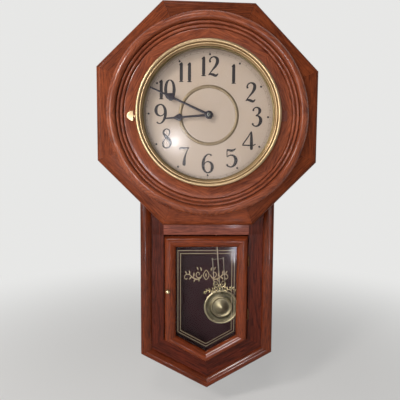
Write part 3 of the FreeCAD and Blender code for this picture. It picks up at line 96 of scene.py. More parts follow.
DIAL = Extent("dial_plate")
HEAD = Extent("head_octagon")
TRUNK = Extent("trunk_mouldings")
FOOT = Extent("foot_mouldings")
SLOPE = (TRUNK.foot - FOOT.foot) / TRUNK.right
STRETCH = math.hypot(1, SLOPE)
DOOR = Extent("door_stiles")
DOOR_HALF = (DOOR.right - DOOR.left) / 2
DOOR_TIP = Extent("door_foot_rails").foot
PIVOT_Z = Extent("pendulum_pivot_pin").z
BOB = Extent("bob_front")
BOB_RADIUS = (BOB.right - BOB.left) / 2
BOB_DROP = math.hypot(BOB.x, PIVOT_Z - BOB.z)
SWING = math.atan2(BOB.x, PIVOT_Z - BOB.z)

MOULDING_WIDE = 20.0
PLANK_STEP, PLANK_SIDE = 741, 97     # a member's grain map starts this far along and across from the last one's
BLOCK_STEP, BLOCK_SIDE = 613, 171    # the same for the blocks of a turned ring
HALVES_APART = 400                   # along the grain, between the foot's left and right halves
SAME_PLACE = 1e-7                    # metres: points closer than this are one


def octagon(flats):
    """Corners (x, z) of an octagon with its flats this far from the dial's centre."""
    a = np.radians(22.5 + 45 * np.arange(8))
    r = flats / math.cos(math.radians(22.5))
    return np.stack([r * np.sin(a), DIAL.z + r * np.cos(a)], 1)


def drop_outline(half, top, tip, middle=0.0):
    """Corners (x, z) of a pointed drop: top left, top right, right, tip, left."""
    low = tip + SLOPE * half
    return [(middle - half, top), (middle + half, top), (middle + half, low), (middle, tip), (middle - half, low)]


def inset_drop(half, top, tip, side, above, foot, middle=0.0):
    """The same drop, drawn in by a distance at its sides, its top and, square to it, its foot."""
    return drop_outline(half - side, top - above, tip + foot * STRETCH, middle)


def hung(points):
    """Turns the pendulum's own x and height, measured from its pivot, to where it rests."""
    c, s = math.cos(SWING), math.sin(SWING)
    x, h = points[..., 0], points[..., 1]
    return x * c - h * s, PIVOT_Z + h * c + x * s


# ---------------------------------------------------------------- surfaces

class Shell:
    """Grids of points that together make one piece."""

    def __init__(self):
        self.points, self.faces, self.maps, self.count = [], [], [], 0

    def grid(self, x, depth, z, ring=False, uv=None):
        """Adds the grid of points (x, -depth, z), rows by columns, in millimetres.

        Neighbours in both directions make quads, and the last column joins the first. In a ring the
        last row joins the first too; otherwise a face closes each of the two. The grid is turned so
        that its faces point outwards, by the sign of the volume that it encloses.
        """
        points = np.stack(np.broadcast_arrays(x, -np.array(depth, float), z), -1)
        rows, cols = points.shape[:2]
        flat = points.reshape(-1, 3)
        i, j = np.meshgrid(np.arange(rows if ring else rows - 1), np.arange(cols), indexing="ij")
        i, j = i.ravel(), j.ravel()
        down, right = (i + 1) % rows, (j + 1) % cols
        quads = np.stack([i * cols + j, i * cols + right, down * cols + right, down * cols + j], 1)
        if uv is None:
            uv = np.zeros((rows + 1, cols + 1, 2))
        corner_map = uv[np.stack([i, i, i + 1, i + 1], 1), np.stack([j, j + 1, j + 1, j], 1)]
        faces, maps = quads.tolist(), corner_map.tolist()
        if not ring:
            first, last = np.arange(cols)[::-1], (rows - 1) * cols + np.arange(cols)
            faces += [first.tolist(), last.tolist()]
            maps += [uv[0, :cols][::-1].tolist(), uv[rows - 1, :cols].tolist()]
        middle = flat.mean(0)
        volume = 0.0
        for half in (quads[:, [0, 1, 2]], quads[:, [0, 2, 3]]):
            a, b, c = (flat[half[:, k]] - middle for k in range(3))
            volume += float(np.einsum("ij,ij->", a, np.cross(b, c)))
        if volume < 0:
            faces = [face[::-1] for face in faces]
            maps = [corners[::-1] for corners in maps]
        self.points.append(flat)
        self.faces += [[k + self.count for k in face] for face in faces]
        self.maps += maps
        self.count += len(flat)

    def piece(self, name, finish, body, slot, replaces=(), sharp=38):
        """Makes the piece, in metres, and puts it on its body; edges sharper than this many degrees show."""
        mesh = bpy.data.meshes.new(name)
        mesh.from_pydata((np.concatenate(self.points) / 1000).tolist(), [], self.faces)
        layer = mesh.uv_layers.new(name="Grain")
        flat = np.array([pair for corners in self.maps for pair in corners], np.float32) / 1000
        layer.data.foreach_set("uv", flat.ravel())
        work = bmesh.new()
        work.from_mesh(mesh)
        bmesh.ops.remove_doubles(work, verts=work.verts, dist=SAME_PLACE)
        work.to_mesh(mesh)
        work.free()
        mesh.shade_smooth()
        mesh.set_sharp_from_angle(angle=math.radians(sharp))
        mesh.materials.append(finish)
        obj = bpy.data.objects.new(name, mesh)
        bpy.context.scene.collection.objects.link(obj)
        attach(obj, body)
        if replaces:
            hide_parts(*replaces)


def rounded(points, steps):
    """A closed outline whose corners are rounded: each row is two coordinates and a radius.

    At a corner the outline leaves its side a radius before it and joins the next side a radius after
    it, by a parabola whose middle control point lies most of the way from the chord to the corner.
    """
    corners, reach = np.array(points, float), 0.88
    here, radius = corners[:, :2], corners[:, 2]
    outline = []
    for k in range(len(here)):
        if radius[k] == 0:
            outline.append(here[k][None])
            continue
        before, after = here[k - 1] - here[k], here[(k + 1) % len(here)] - here[k]
        start = here[k] + before / np.linalg.norm(before) * radius[k]
        end = here[k] + after / np.linalg.norm(after) * radius[k]
        control = (1 - reach) * (start + end) / 2 + reach * here[k]
        t = np.linspace(0, 1, steps)[:, None]
        outline.append((1 - t) ** 2 * start + 2 * t * (1 - t) * control + t ** 2 * end)
    return np.concatenate(outline)


def section(points, wide, steps=8):
    """A member's rounded outline, from rows of distance across, depth and radius, with the distance
    given as a share of the member's width."""
    return rounded(points, steps) / [wide, 1]


def arc(a, x, y, wide, high):
    """Points (x + wide cos a, y + high sin a)."""
    return np.stack([x + wide * np.cos(a), y + high * np.sin(a)], 1)


def bead(inner, width, left, right, top):
    """A half-round of an outline, from radius inner and depth left to a width further out and depth
    right: its height over the line between them is a sine of the way across, to the power 0.9."""
    t = np.linspace(0.0, math.pi, 40)
    share = (1 - np.cos(t)) / 2
    base = left + (right - left) * share
    return np.stack([inner + width * share, base + (top - max(left, right)) * np.sin(t) ** 0.9], 1)


def turned(shell, outline, steps, x=0.0, z=DIAL.z, blocks=0):
    """Carries a closed outline of (radius, depth) round the line through (x, z), front to back.

    A point is (x + r sin a, -d, z + r cos a). With blocks, the ring is glued up from that many, and
    the grain runs straight along each: its map is (r sin b, r cos b + slant d), with b the angle from
    the block's middle, moved on by a step for each block.
    """
    a = np.linspace(0, 2 * math.pi, steps, endpoint=False)
    r, d = outline[:, :1], outline[:, 1:]
    uv = None
    if blocks:
        width, slant, tiny = 2 * math.pi / blocks, 0.8, 1e-6
        full = np.linspace(0, 2 * math.pi, steps + 1)
        block = np.floor(np.clip(full, 0, 2 * math.pi - tiny) / width + tiny)
        b = full - (block + 0.5) * width
        rr, dd = np.concatenate([r, r[:1]]), np.concatenate([d, d[:1]])
        uv = np.stack([rr * np.sin(b) + block * BLOCK_STEP, rr * np.cos(b) + dd * slant + block * BLOCK_SIDE], -1)
    shell.grid(x + r * np.sin(a), d, z + r * np.cos(a), ring=True, uv=uv)


def mitred(shell, outer, inner, members, outline, steps=24, joint=0.1, seed=0):
    """Carries an outline of (share, depth) along members that are mitred where they meet.

    outer and inner list the corners (x, z) of the frame's two lines. Share 0 is the outer line and
    1 the inner line, so a point at share f and length t is the blend by t of the two corners, each
    itself the blend by f of its outer and inner corner. The grain's map is (length, outline's run).
    """
    outer, inner = np.array(outer, float), np.array(inner, float)
    share, depth = outline[:, 0], outline[:, 1]
    for number, (first, last) in enumerate(members, seed):
        start = outer[first] + share[:, None] * (inner[first] - outer[first])
        end = outer[last] + share[:, None] * (inner[last] - outer[last])
        length = float(np.linalg.norm(outer[last] - outer[first]))
        t = np.linspace(joint / length, 1 - joint / length, steps)[:, None, None]
        flat = start + t * (end - start)
        along = (flat - outer[first]) @ ((outer[last] - outer[first]) / length)
        along = np.concatenate([along, along[:, :1]], 1)
        loop = np.stack([share * np.linalg.norm(inner[first] - outer[first]), depth], 1)
        run = np.cumsum(np.linalg.norm(np.diff(loop, axis=0, append=loop[:1]), axis=1))
        run = np.broadcast_to(np.concatenate([[0], run]), along.shape)
        shell.grid(flat[..., 0], depth, flat[..., 1],
                   uv=np.stack([along + number * PLANK_STEP, run + number * PLANK_SIDE], -1))


def board(shell, x0, x1, z0, z1, back, front, steps=8):
    """A flat board: an outline of height and depth with eased corners, carried straight from x0 to x1."""
    ease = 0.2
    outline = rounded([(z0, back, ease), (z1, back, ease), (z1, front, ease), (z0, front, ease)], 4)
    shell.grid(np.linspace(x0, x1, steps)[:, None], outline[:, 1], outline[:, 0])


def spline(controls, closed=False, steps=9):
    """Points on a smooth curve through the control rows: on each span, the cubic whose slope at a
    control is half the step from the one before it to the one after it."""
    c = np.array(controls, float)
    if closed:
        ring = np.concatenate([c[-1:], c, c[:2]])
    else:
        ring = np.concatenate([2 * c[:1] - c[1:2], c, 2 * c[-1:] - c[-2:-1]])
    t = np.linspace(0, 1, steps, endpoint=False)[None, :, None]
    p0, p1, p2, p3 = (ring[k:len(ring) - 3 + k, None] for k in range(4))
    curve = 0.5 * (2 * p1 + (p2 - p0) * t + (2 * p0 - 5 * p1 + 4 * p2 - p3) * t ** 2
                   + (3 * p1 - p0 - 3 * p2 + p3) * t ** 3)
    curve = curve.reshape(-1, c.shape[1])
    return curve if closed else np.concatenate([curve, c[-1:]])


def square_to(way):
    """Unit steps to the left of each row's direction."""
    way = way / np.linalg.norm(way, axis=1)[:, None]
    return np.stack([-way[:, 1], way[:, 0]], 1)


def brushed(shell, controls, depth, thick, origin=(0, 0), stretch=(1, 1), closed=False):
    """A flat stroke of changing width: controls are rows of x, y and width.

    The stroke's two edges lie half a width to each side of its line, square to it, and its ends are
    rounded: near an end the width shrinks as a circle's does, down to a blunt tip. A point (x, y) is
    then stretched and moved to the origin, which gives the clock's x and z.
    """
    finest, blunt = 0.02, 0.12
    line = spline(controls, closed)
    xy, width = line[:, :2], np.maximum(line[:, 2], finest)
    if closed:
        way = np.roll(xy, -1, 0) - np.roll(xy, 1, 0)
    else:
        way = np.gradient(xy, axis=0)
        run = np.concatenate([[0], np.cumsum(np.linalg.norm(np.diff(xy, axis=0), axis=1))])
        near = np.minimum(run, run[-1] - run)
        width = width * np.sqrt(1 - (1 - np.clip(near / (width / 2) + blunt, 0, 1)) ** 2)
    side = square_to(way) * width[:, None] / 2
    edges = np.stack([xy + side, xy + side, xy - side, xy - side], 1) * stretch + origin
    shell.grid(edges[..., 0], [depth, depth + thick, depth + thick, depth], edges[..., 1], ring=closed)


def straight(start, end, steps):
    """Points at even steps from start to end."""
    return np.array(start, float) + (np.array(end, float) - start) * np.linspace(0, 1, steps)[:, None]


def drawn_tube(shell, path, radius, depth, flat, sides=12, power=1.0):
    """A round bar of the pendulum along a path: rows of x and height, with a radius at each row.

    Round the path the point is path + side r cos b, at depth + flat r sin b, with side square to the
    path in its plane, and a power below 1 squares that circle off. The radius may change along the
    path, so a leaf is a short bar that swells.
    """
    r = np.broadcast_to(radius, len(path))[:, None]
    b = np.linspace(0, 2 * math.pi, sides, endpoint=False)
    c, s = (np.sign(v) * np.abs(v) ** power for v in (np.cos(b), np.sin(b)))
    x, z = hung(path[:, None] + square_to(np.gradient(path, axis=0))[:, None] * (r * c)[..., None])
    shell.grid(x, depth + flat * r * s, z)


# ---------------------------------------------------------------- finishes

class Wire:
    """A node socket that takes part in sums and comparisons, so that shader maths reads as an expression."""

    def __init__(self, finish, socket):
        self.finish, self.socket = finish, socket

    def __add__(self, other): return self.finish.math("ADD", self, other)
    def __radd__(self, other): return self.finish.math("ADD", other, self)
    def __sub__(self, other): return self.finish.math("SUBTRACT", self, other)
    def __rsub__(self, other): return self.finish.math("SUBTRACT", other, self)
    def __mul__(self, other): return self.finish.math("MULTIPLY", self, other)
    def __rmul__(self, other): return self.finish.math("MULTIPLY", other, self)
    def __truediv__(self, other): return self.finish.math("DIVIDE", self, other)
    def __rtruediv__(self, other): return self.finish.math("DIVIDE", other, self)
    def __lt__(self, other): return self.finish.math("LESS_THAN", self, other)
    def __gt__(self, other): return self.finish.math("GREATER_THAN", self, other)
    def __abs__(self): return self.finish.math("ABSOLUTE", self)


class Finish:
    """A material, or the room's light, being built from nodes."""

    def __init__(self, name, room=False):
        self.made = (bpy.data.worlds if room else bpy.data.materials).new(name)
        self.made.use_nodes = True
        self.tree = self.made.node_tree
        self.tree.nodes.clear()
        self.output = self.tree.nodes.new("ShaderNodeOutputWorld" if room else "ShaderNodeOutputMaterial")

    def node(self, kind, inputs=(), out=0, stops=(), ease="LINEAR", **settings):
        """Adds a node: its settings are set first, a ramp's stops as (place, grey) among them, then its
        inputs, as values or wires."""
        made = self.tree.nodes.new("ShaderNode" + kind)
        for key, value in settings.items():
            setattr(made, key, value)
        if stops:
            ramp = made.color_ramp
            ramp.interpolation = ease
            while len(ramp.elements) < len(stops):
                ramp.elements.new(0.5)
            for element, (at, level) in zip(ramp.elements, stops):
                element.position, element.color = at, (level, level, level, 1)
        for key, value in dict(inputs).items():
            socket = made.inputs[key]
            if isinstance(value, Wire):
                self.tree.links.new(value.socket, socket)
            elif socket.type == "RGBA":
                socket.default_value = (*value, 1)
            else:
                socket.default_value = value
        return Wire(self, made.outputs[out])

    def math(self, operation, *values, clamp=False):
        """A sum of numbers, by the Math node's own name for it."""
        return self.node("Math", dict(enumerate(values)), operation=operation, use_clamp=clamp)

    def mix(self, share, first, second, blend="MIX"):
        """A mix of two colours, which are the node's third pair of sockets."""
        return self.node("Mix", {0: share, 6: first, 7: second}, out=2, data_type="RGBA", blend_type=blend)

    def step(self, value, low, high, start=0.0, end=1.0):
        """A smooth step from start to end while the value goes from low to high."""
        return self.node("MapRange", {"Value": value, "From Min": low, "From Max": high, "To Min": start,
                                      "To Max": end}, interpolation_type="SMOOTHSTEP")

    def radius(self, x, y):
        """How far (x, y) is from nought."""
        return self.math("SQRT", x * x + y * y)

    def split(self, vector):
        """The three parts of a vector or colour."""
        parts = self.node("SeparateXYZ", {0: vector}).socket.node.outputs
        return [Wire(self, parts[k]) for k in range(3)]

    def place(self):
        """Object coordinates in millimetres, as three wires."""
        return [part * 1000 for part in self.split(self.node("TexCoord", out="Object"))]

    def grain_map(self):
        """The piece's own map in millimetres: along and across the grain, with no third way."""
        along, across, _ = self.split(self.node("UVMap", uv_map="Grain"))
        return along * 1000, across * 1000, 0.0

    def noise(self, x, y, z, detail, rough=0.5, bend=0.0):
        """Noise whose grains are one unit wide, so a factor on millimetres is how many lie in one."""
        at = self.node("CombineXYZ", {0: x, 1: y, 2: z})
        return self.node("TexNoise", {"Vector": at, "Scale": 1.0, "Detail": detail, "Roughness": rough,
                                      "Distortion": bend})

    def bump(self, height, strength, distance):
        """A normal that a height bends, over a distance in metres."""
        return self.node("Bump", {"Strength": strength, "Distance": distance, "Height": height})

    def either(self, share, first, second):
        """A mix of two shaders."""
        return self.node("MixShader", {0: share, 1: first, 2: second})

    def surface(self, shader):
        """Ends the finish with its shader and gives it back, made."""
        self.tree.links.new(shader.socket, self.output.inputs["Surface"])
        return self.made

    def solid(self, **inputs):
        """A Principled surface; a name's underscore stands for a space."""
        return self.surface(self.node("BsdfPrincipled", {k.replace("_", " "): v for k, v in inputs.items()}))


def along_x(f):
    """Grain that runs from side to side."""
    x, y, z = f.place()
    return x, z, y


def along_z(f):
    """Grain that runs upright."""
    x, y, z = f.place()
    return z, x, y


def along_foot(f):
    """Grain that follows the foot's two slopes, mirrored about the clock's middle."""
    x, y, z = f.place()
    side = abs(x)
    apart = f.math("SIGN", x) * HALVES_APART
    return (side + SLOPE * z) / STRETCH + apart, (z - SLOPE * side) / STRETCH, y


def wood(name, light, dark, grain, rough, coat, inside=None, figure=0.16, seed=0.0, gloss=0.14, boards=()):
    """Stained and lacquered oak: fine streaks and open pores along the grain, and over them the contour
    lines of a long slow noise, which close into pointed arches where it turns. inside says which faces
    are made dark, and boards gives each member of a frame a level of painted light and shade, by how
    the lamps fall on it."""
    turns, waver, shift = 9.0, 0.45, 100
    f = Finish(name)
    along, across, deep = grain(f)
    # Each noise has its own grains a millimetre, far fewer along the grain than across it.
    slow = f.noise(along * 0.0042 + seed, across * 0.04, deep * 0.04, detail=1.5, rough=0.45)
    wander = f.noise(along * 0.021, across * 0.26, deep * 0.26 + seed, detail=3, rough=0.6)
    arches = abs(f.math("FRACT", slow * turns + wander * waver) - 0.5) * 2
    line = f.step(arches, 0.55, 1.0)
    streak = f.noise(along * 0.038, across * 0.52, deep * 0.52 + seed, detail=3, rough=0.7)
    fibre = f.noise(along * 0.05, across * 1.5, deep * 1.5, detail=2, rough=0.65)
    pore = f.noise(along * 0.11, across * 2.1, deep * 2.1 + seed, detail=2, rough=0.6)
    pores = f.step(pore, 0.52, 0.64) * f.step(streak, 0.38, 0.58, 0.25, 1.0)
    blotch = f.noise(along * 0.010, across * 0.022, deep * 0.022 + 3 + seed, detail=2)
    tone = f.math("ADD", figure * line + 2.7 * (streak - 0.5) + (fibre - 0.5), blotch - 0.5 + 0.42, clamp=True)
    colour = f.mix(tone, light, dark)
    colour = f.mix(f.math("MULTIPLY", pores, 0.62, clamp=True), colour, toned(dark, 0.35))
    # Painted light and shade: each member's colour is multiplied by its level in boards.
    if boards:
        stops = [(k / len(boards), level) for k, level in enumerate(boards)]
        # The stops lie one step apart, and the shift keeps every board clear of them.
        member = (along + shift) / (len(boards) * PLANK_STEP)
        colour = f.mix(1.0, colour, f.node("ValToRGB", {0: member}, stops=stops, ease="CONSTANT"), blend="MULTIPLY")
    if inside:
        colour = f.mix(inside(*f.place()), colour, linear(26, 14, 16))
    height = 0 - pores * 0.6 - line * 0.15 + streak * 0.5 + fibre * 0.3
    return f.solid(Base_Color=colour, Roughness=rough + 0.16 * pores + 0.2 * (streak - 0.5) + 0.12 * (blotch - 0.5),
                   Specular_IOR_Level=gloss, Coat_Weight=coat * (1 - 0.4 * pores), Coat_Roughness=0.12,
                   Normal=f.bump(height, 0.35, 0.00016))


def metal(name, colour, rough, tarnish=0.35):
    """Lacquered or bare metal: fine wipe marks, cloudy patches where it has dulled, tiny pits."""
    f, dulled = Finish(name), toned(colour, 0.62, 0.55, 0.42)
    x, y, z = f.place()
    patch = f.step(f.noise(x * 0.05, y * 0.05, z * 0.05, detail=4, rough=0.6), 0.42, 0.68)
    wipe = f.noise(x * 0.9, y * 0.9, z * 0.9, detail=2, rough=0.7)
    pit = f.step(f.noise(x * 1.4, y * 1.4, z * 1.4, detail=1), 0.72, 0.80)
    tone = f.mix(f.math("MULTIPLY", patch, tarnish, clamp=True), colour, dulled)
    tone = f.mix(pit * 0.5, tone, toned(colour, 0.35))
    return f.solid(Base_Color=tone, Metallic=1.0,
                   Roughness=rough + 0.16 * patch * tarnish + 0.12 * (wipe - 0.5) + 0.15 * pit,
                   Normal=f.bump(wipe - pit, 0.05, 0.00006))


def ringed_metal(name, bright, tarnish_and_shade, x0, z0, rings, rough):
    """Turned or stamped brass, darkened in rings as painted shade and painted dark reflection, and in cloudy patches of
    tarnish: rings lists radii with how dark each is painted.
    """
    f = Finish(name)
    x, y, z = f.place()
    across, up = x - x0, z - z0
    radius = f.radius(across, up)
    far = rings[-1][0]
    ramp = f.node("ValToRGB", {0: radius / far}, stops=[(at / far, painted_shade) for at, painted_shade in rings])
    cloud = f.noise(x * 0.05, y * 0.05, z * 0.05, detail=4, rough=0.6)
    wipe = f.noise(radius * 2.5, f.math("ARCTAN2", across, up) * 4, y * 0.3, detail=2)
    # Painted shade: how dark the ramp makes each ring, varied a little by the clouds.
    painted_shade = f.math("MULTIPLY", f.split(ramp)[0], 0.75 + 0.5 * cloud, clamp=True)
    tone = f.mix(painted_shade, bright, tarnish_and_shade)
    # Cloudy patches of tarnish, towards the same dark tone.
    tone = f.mix(f.step(cloud, 0.5, 0.75) * 0.25, tone, tarnish_and_shade)
    return f.solid(Base_Color=tone, Metallic=1.0, Roughness=rough + 0.18 * painted_shade + 0.08 * (wipe - 0.5),
                   Normal=f.bump(wipe, 0.03, 0.00005))


def plastic(name, colour, rough=0.42):
    """Moulded plastic: a fine even grain and flow marks."""
    f = Finish(name)
    x, y, z = f.place()
    fine = f.noise(x * 2.2, y * 2.2, z * 2.2, detail=2)
    flow = f.noise(x * 0.05, y * 0.05, z * 0.14, detail=3, bend=0.6)
    return f.solid(Base_Color=f.mix(0.25 * flow, colour, toned(colour, 1.5, lift=0.02)),
                   Roughness=rough + 0.12 * (flow - 0.5) + 0.08 * fine, Normal=f.bump(fine, 0.125, 0.00008))


def sheet_board(name, front, back, split_depth):
    """Pressed board with a front tone of its own: the face deeper than split_depth keeps its raw colour."""
    f = Finish(name)
    x, y, z = f.place()
    fibres = f.noise(x * 0.9, y * 2.5, z * 0.35, detail=4, rough=0.7, bend=0.8)
    cloud = f.noise(x * 0.03, y * 0.03, z * 0.02, detail=3)
    raw = f.mix(f.step(fibres, 0.35, 0.7), back, toned(back, 0.62))
    front_tone = f.mix(f.step(cloud, 0.35, 0.7) * 0.5, front, toned(front, 1.5))
    return f.solid(Base_Color=f.mix(y < -split_depth, raw, front_tone), Roughness=0.72 + 0.2 * (cloud - 0.5),
                   Normal=f.bump(fibres, 0.3, 0.00005))


def clear_glass(name, tint, bend=1.34, rough=0.13):
    """A pane that light passes straight through, with a mirror's share by its angle, and a little dust."""
    f = Finish(name)
    x, y, z = f.place()
    smear = f.step(f.noise(x * 0.03, y * 0.03, z * 0.05, detail=3, bend=1.0), 0.45, 0.75)
    share = (f.node("Fresnel", {"IOR": bend}) + 0.003 * smear) * (1 - f.node("NewGeometry", out="Backfacing"))
    shine = f.node("BsdfPrincipled", {"Base Color": (1, 1, 1), "Metallic": 1.0,
                                      "Roughness": rough + 0.4 * rough * smear})
    return f.surface(f.either(share, f.node("BsdfTransparent", {"Color": tint}), shine))


def dial_paint(name, cream):
    """Cream enamel that has yellowed in clouds and towards the rim, with a faint speckle."""
    yellowed, browned, spotted = toned(cream, 0.98, 0.90, 0.76), toned(cream, 0.66, 0.62, 0.52), toned(cream, 0.6)
    rim_from, rim_to = 104.0, 116.0
    f = Finish(name)
    x, y, z = f.place()
    cloud = f.noise(x * 0.018, 0, z * 0.018, detail=4, rough=0.6)
    speckle = f.noise(x * 1.1, 0, z * 1.1, detail=2)
    tone = f.mix(f.step(cloud, 0.4, 0.75) * 0.35, cream, yellowed)
    tone = f.mix(f.step(f.radius(x, z - DIAL.z), rim_from, rim_to) * 0.32, tone, browned)
    tone = f.mix(f.step(speckle, 0.66, 0.74) * 0.2, tone, spotted)
    return f.solid(Base_Color=tone, Roughness=0.42 + 0.12 * (cloud - 0.5), Coat_Weight=0.1,
                   Normal=f.bump(speckle, 0.08, 0.0001))


def ink(name, colour, worn=0.3, rough=0.5, metallic=0.0):
    """A printed or gilded line: solid, with small worn spots that show thinner."""
    f = Finish(name)
    x, y, z = f.place()
    wear = f.noise(x * 0.8, 0, z * 0.8, detail=3, rough=0.7)
    thin = f.step(wear, 0.52, 0.72) * worn
    return f.solid(Base_Color=f.mix(thin, colour, toned(colour, 2.2, lift=0.015)), Roughness=rough + 0.2 * thin,
                   Metallic=metallic, Normal=f.bump(wear, 0.1, 0.00005))


def blued(name):
    """Steel blued almost black, in faint clouds, under a thin lacquer."""
    f = Finish(name)
    x, y, z = f.place()
    cloud = f.noise(x * 0.25, y, z * 0.25, detail=3)
    return f.solid(Base_Color=f.mix(f.step(cloud, 0.35, 0.7), linear(34, 29, 38), linear(47, 40, 50)),
                   Roughness=0.34 + 0.12 * (cloud - 0.5), Coat_Weight=0.1, Normal=f.bump(cloud, 0.1, 0.0001))


def wound_wire(name, colour):
    """Enamelled wire in even turns, side by side, darker where neighbouring turns meet: painted shade in the creases.
    """
    f, pitch = Finish(name), 0.35
    x, y, z = f.place()
    turn = f.math("SINE", y * (2 * math.pi / pitch))
    # Painted shade: the colour darkens where two turns meet.
    return f.solid(Base_Color=f.mix(turn * 0.5 + 0.5, toned(colour, 0.35), colour),
                   Metallic=0.9, Roughness=0.3 + 0.1 * turn, Normal=f.bump(turn, 0.5, 0.0001))


def circuit(name):
    """Green solder mask with lighter tracks in steps and a fine weave."""
    f = Finish(name)
    x, y, z = f.place()
    stepped = f.math("PINGPONG", x + f.math("FLOOR", z / 3) * 1.3, 1.6)
    track = f.step(stepped, 0.55, 0.75) * f.step(f.math("PINGPONG", z, 1.5), 0.3, 0.5)
    weave = f.math("SINE", x * 9) * f.math("SINE", z * 9)
    return f.solid(Base_Color=f.mix(track, linear(20, 70, 42), linear(60, 120, 66)), Roughness=0.35,
                   Normal=f.bump(weave + track, 0.2, 0.0001))


def cell(name):
    """A plain dry cell: a dark sleeve with one coppery end, and bright metal at both ends."""
    f, cap_at, band_at, blur = Finish(name), 23.2, 8.0, 0.4
    x, y, z = f.place()
    cap = f.step(abs(x), cap_at, cap_at + blur)
    band = f.step(x, band_at, band_at + blur)
    scuff = f.noise(x * 0.3, y * 1.5, z * 1.5, detail=3)
    sleeve = f.mix(band, linear(32, 33, 38), linear(170, 112, 66))
    sleeve = f.mix(f.step(scuff, 0.6, 0.75) * 0.3, sleeve, linear(120, 118, 115))
    return f.solid(Base_Color=f.mix(cap, sleeve, linear(190, 190, 188)), Metallic=f.step(cap + band, 0.2, 1.0),
                   Roughness=0.33 + 0.15 * (scuff - 0.5), Normal=f.bump(scuff, 0.1, 0.0001))


# ---------------------------------------------------------------- settings

def colour_setting(name, description, value):
    """A tone that a user may change."""
    return FloatVectorProperty(name=name, description=description, subtype="COLOR", size=3, min=0, max=1,
                               default=value)


class ClockWoodSettings(bpy.types.PropertyGroup):
    """Tones of the wood."""
    head_light: colour_setting("Head, light", "Octagon between its grain lines", linear(138, 67, 35))
    head_dark: colour_setting("Head, dark", "Octagon along its grain lines", linear(80, 33, 16))
    ring_light: colour_setting("Ring, light", "Turned ring between its grain lines", linear(153, 82, 52))
    ring_dark: colour_setting("Ring, dark", "Turned ring along its grain lines", linear(92, 40, 24))
    trunk_light: colour_setting("Trunk, light", "Mouldings and box between their grain lines", linear(112, 47, 19))
    trunk_dark: colour_setting("Trunk, dark", "Mouldings and box along their grain lines", linear(62, 23, 9))
    panel_light: colour_setting("Panel, light", "Front panel between its grain lines", linear(94, 36, 20))
    panel_dark: colour_setting("Panel, dark", "Front panel along its grain lines", linear(51, 18, 10))
    # The top rail's tones are lighter and pinker than the panel's: a painted sheen.
    rail_light: colour_setting("Top rail, light", "Panel's top rail between its grain lines", linear(164, 90, 68))
    rail_dark: colour_setting("Top rail, dark", "Panel's top rail along its grain lines", linear(108, 54, 42))
    door_light: colour_setting("Door, light", "Door's frame between its grain lines", linear(130, 57, 24))
    door_dark: colour_setting("Door, dark", "Door's frame along its grain lines", linear(74, 28, 12))
    coat: FloatProperty(name="Lacquer", description="Weight of the lacquer over the wood", min=0, max=1, default=0.42,
                        subtype="FACTOR")


class ClockMetalSettings(bpy.types.PropertyGroup):
    """Tones of the metals."""
    brass: colour_setting("Brass", "Bezel, tab, knob and nut", linear(208, 182, 142))
    pale_brass: colour_setting("Scroll brass", "Scroll plate over the bob", linear(188, 176, 134))
    steel: colour_setting("Steel", "Screws, plates and contacts", linear(186, 187, 190))
    gilding: colour_setting("Gilding", "Lines and ornament on the door's glass", linear(176, 158, 124))
    tarnish: FloatProperty(name="Tarnish", description="How far the knob's brass has dulled", min=0, max=1,
                           default=0.35, subtype="FACTOR")


class ClockDialSettings(bpy.types.PropertyGroup):
    """The dial's paint and print."""
    cream: colour_setting("Cream", "Dial's enamel", linear(190, 173, 158))
    ink: colour_setting("Ink", "Numerals and dots", linear(36, 30, 34))
    numeral_height: FloatProperty(name="Numeral height", description="Height of a numeral", default=0.0337,
                                  min=0.01, max=0.05, unit="LENGTH")
    numeral_circle: FloatProperty(name="Numeral circle", description="Dial's centre to a numeral's middle",
                                  default=0.0835, min=0.05, max=0.1, unit="LENGTH")
    dot_circle: FloatProperty(name="Dot circle", description="Dial's centre to an hour's dot", default=0.1041,
                              min=0.09, max=0.11, unit="LENGTH")


def power_setting(name, description, value):
    """A lamp's power."""
    return FloatProperty(name=name, description=description, default=value, min=0, max=500, unit="POWER")


class ClockStageSettings(bpy.types.PropertyGroup):
    """Camera, lamps and floor."""
    camera_place: FloatVectorProperty(name="Camera", description="Where the camera stands", size=3,
                                      default=(-0.0166, -0.7613, -0.1983), subtype="TRANSLATION", unit="LENGTH")
    lens: FloatProperty(name="Lens", description="Focal length in millimetres", default=33.85, min=10, max=200)
    key_power: power_setting("Key lamp", "Power of the wide lamp at the upper left", 12.5)
    small_power: power_setting("Small lamp", "Power of the small lamp that the glass mirrors, and its halo", 3.4)
    top_power: power_setting("Top lamp", "Power of the soft lamp overhead", 4)
    corner_power: power_setting("Corner lamp", "Power of the lamp above at the left", 9)
    low_power: power_setting("Low lamp", "Power of the wide lamp below the eye", 1.2)
    fill_power: power_setting("Fill lamp", "Power of the wide lamp at the right", 0.9)
    window_power: power_setting("Window lamp", "Power of the tall lamp that the door's glass mirrors", 0.3)
    room_light: FloatProperty(name="Room light", description="Even light from all sides", default=0.22, min=0, max=2)
    floor_drop: FloatProperty(name="Floor drop", description="Clock's tip to the floor", default=0.05, min=0, max=1,
                              unit="LENGTH")


# ---------------------------------------------------------------- the dial's print

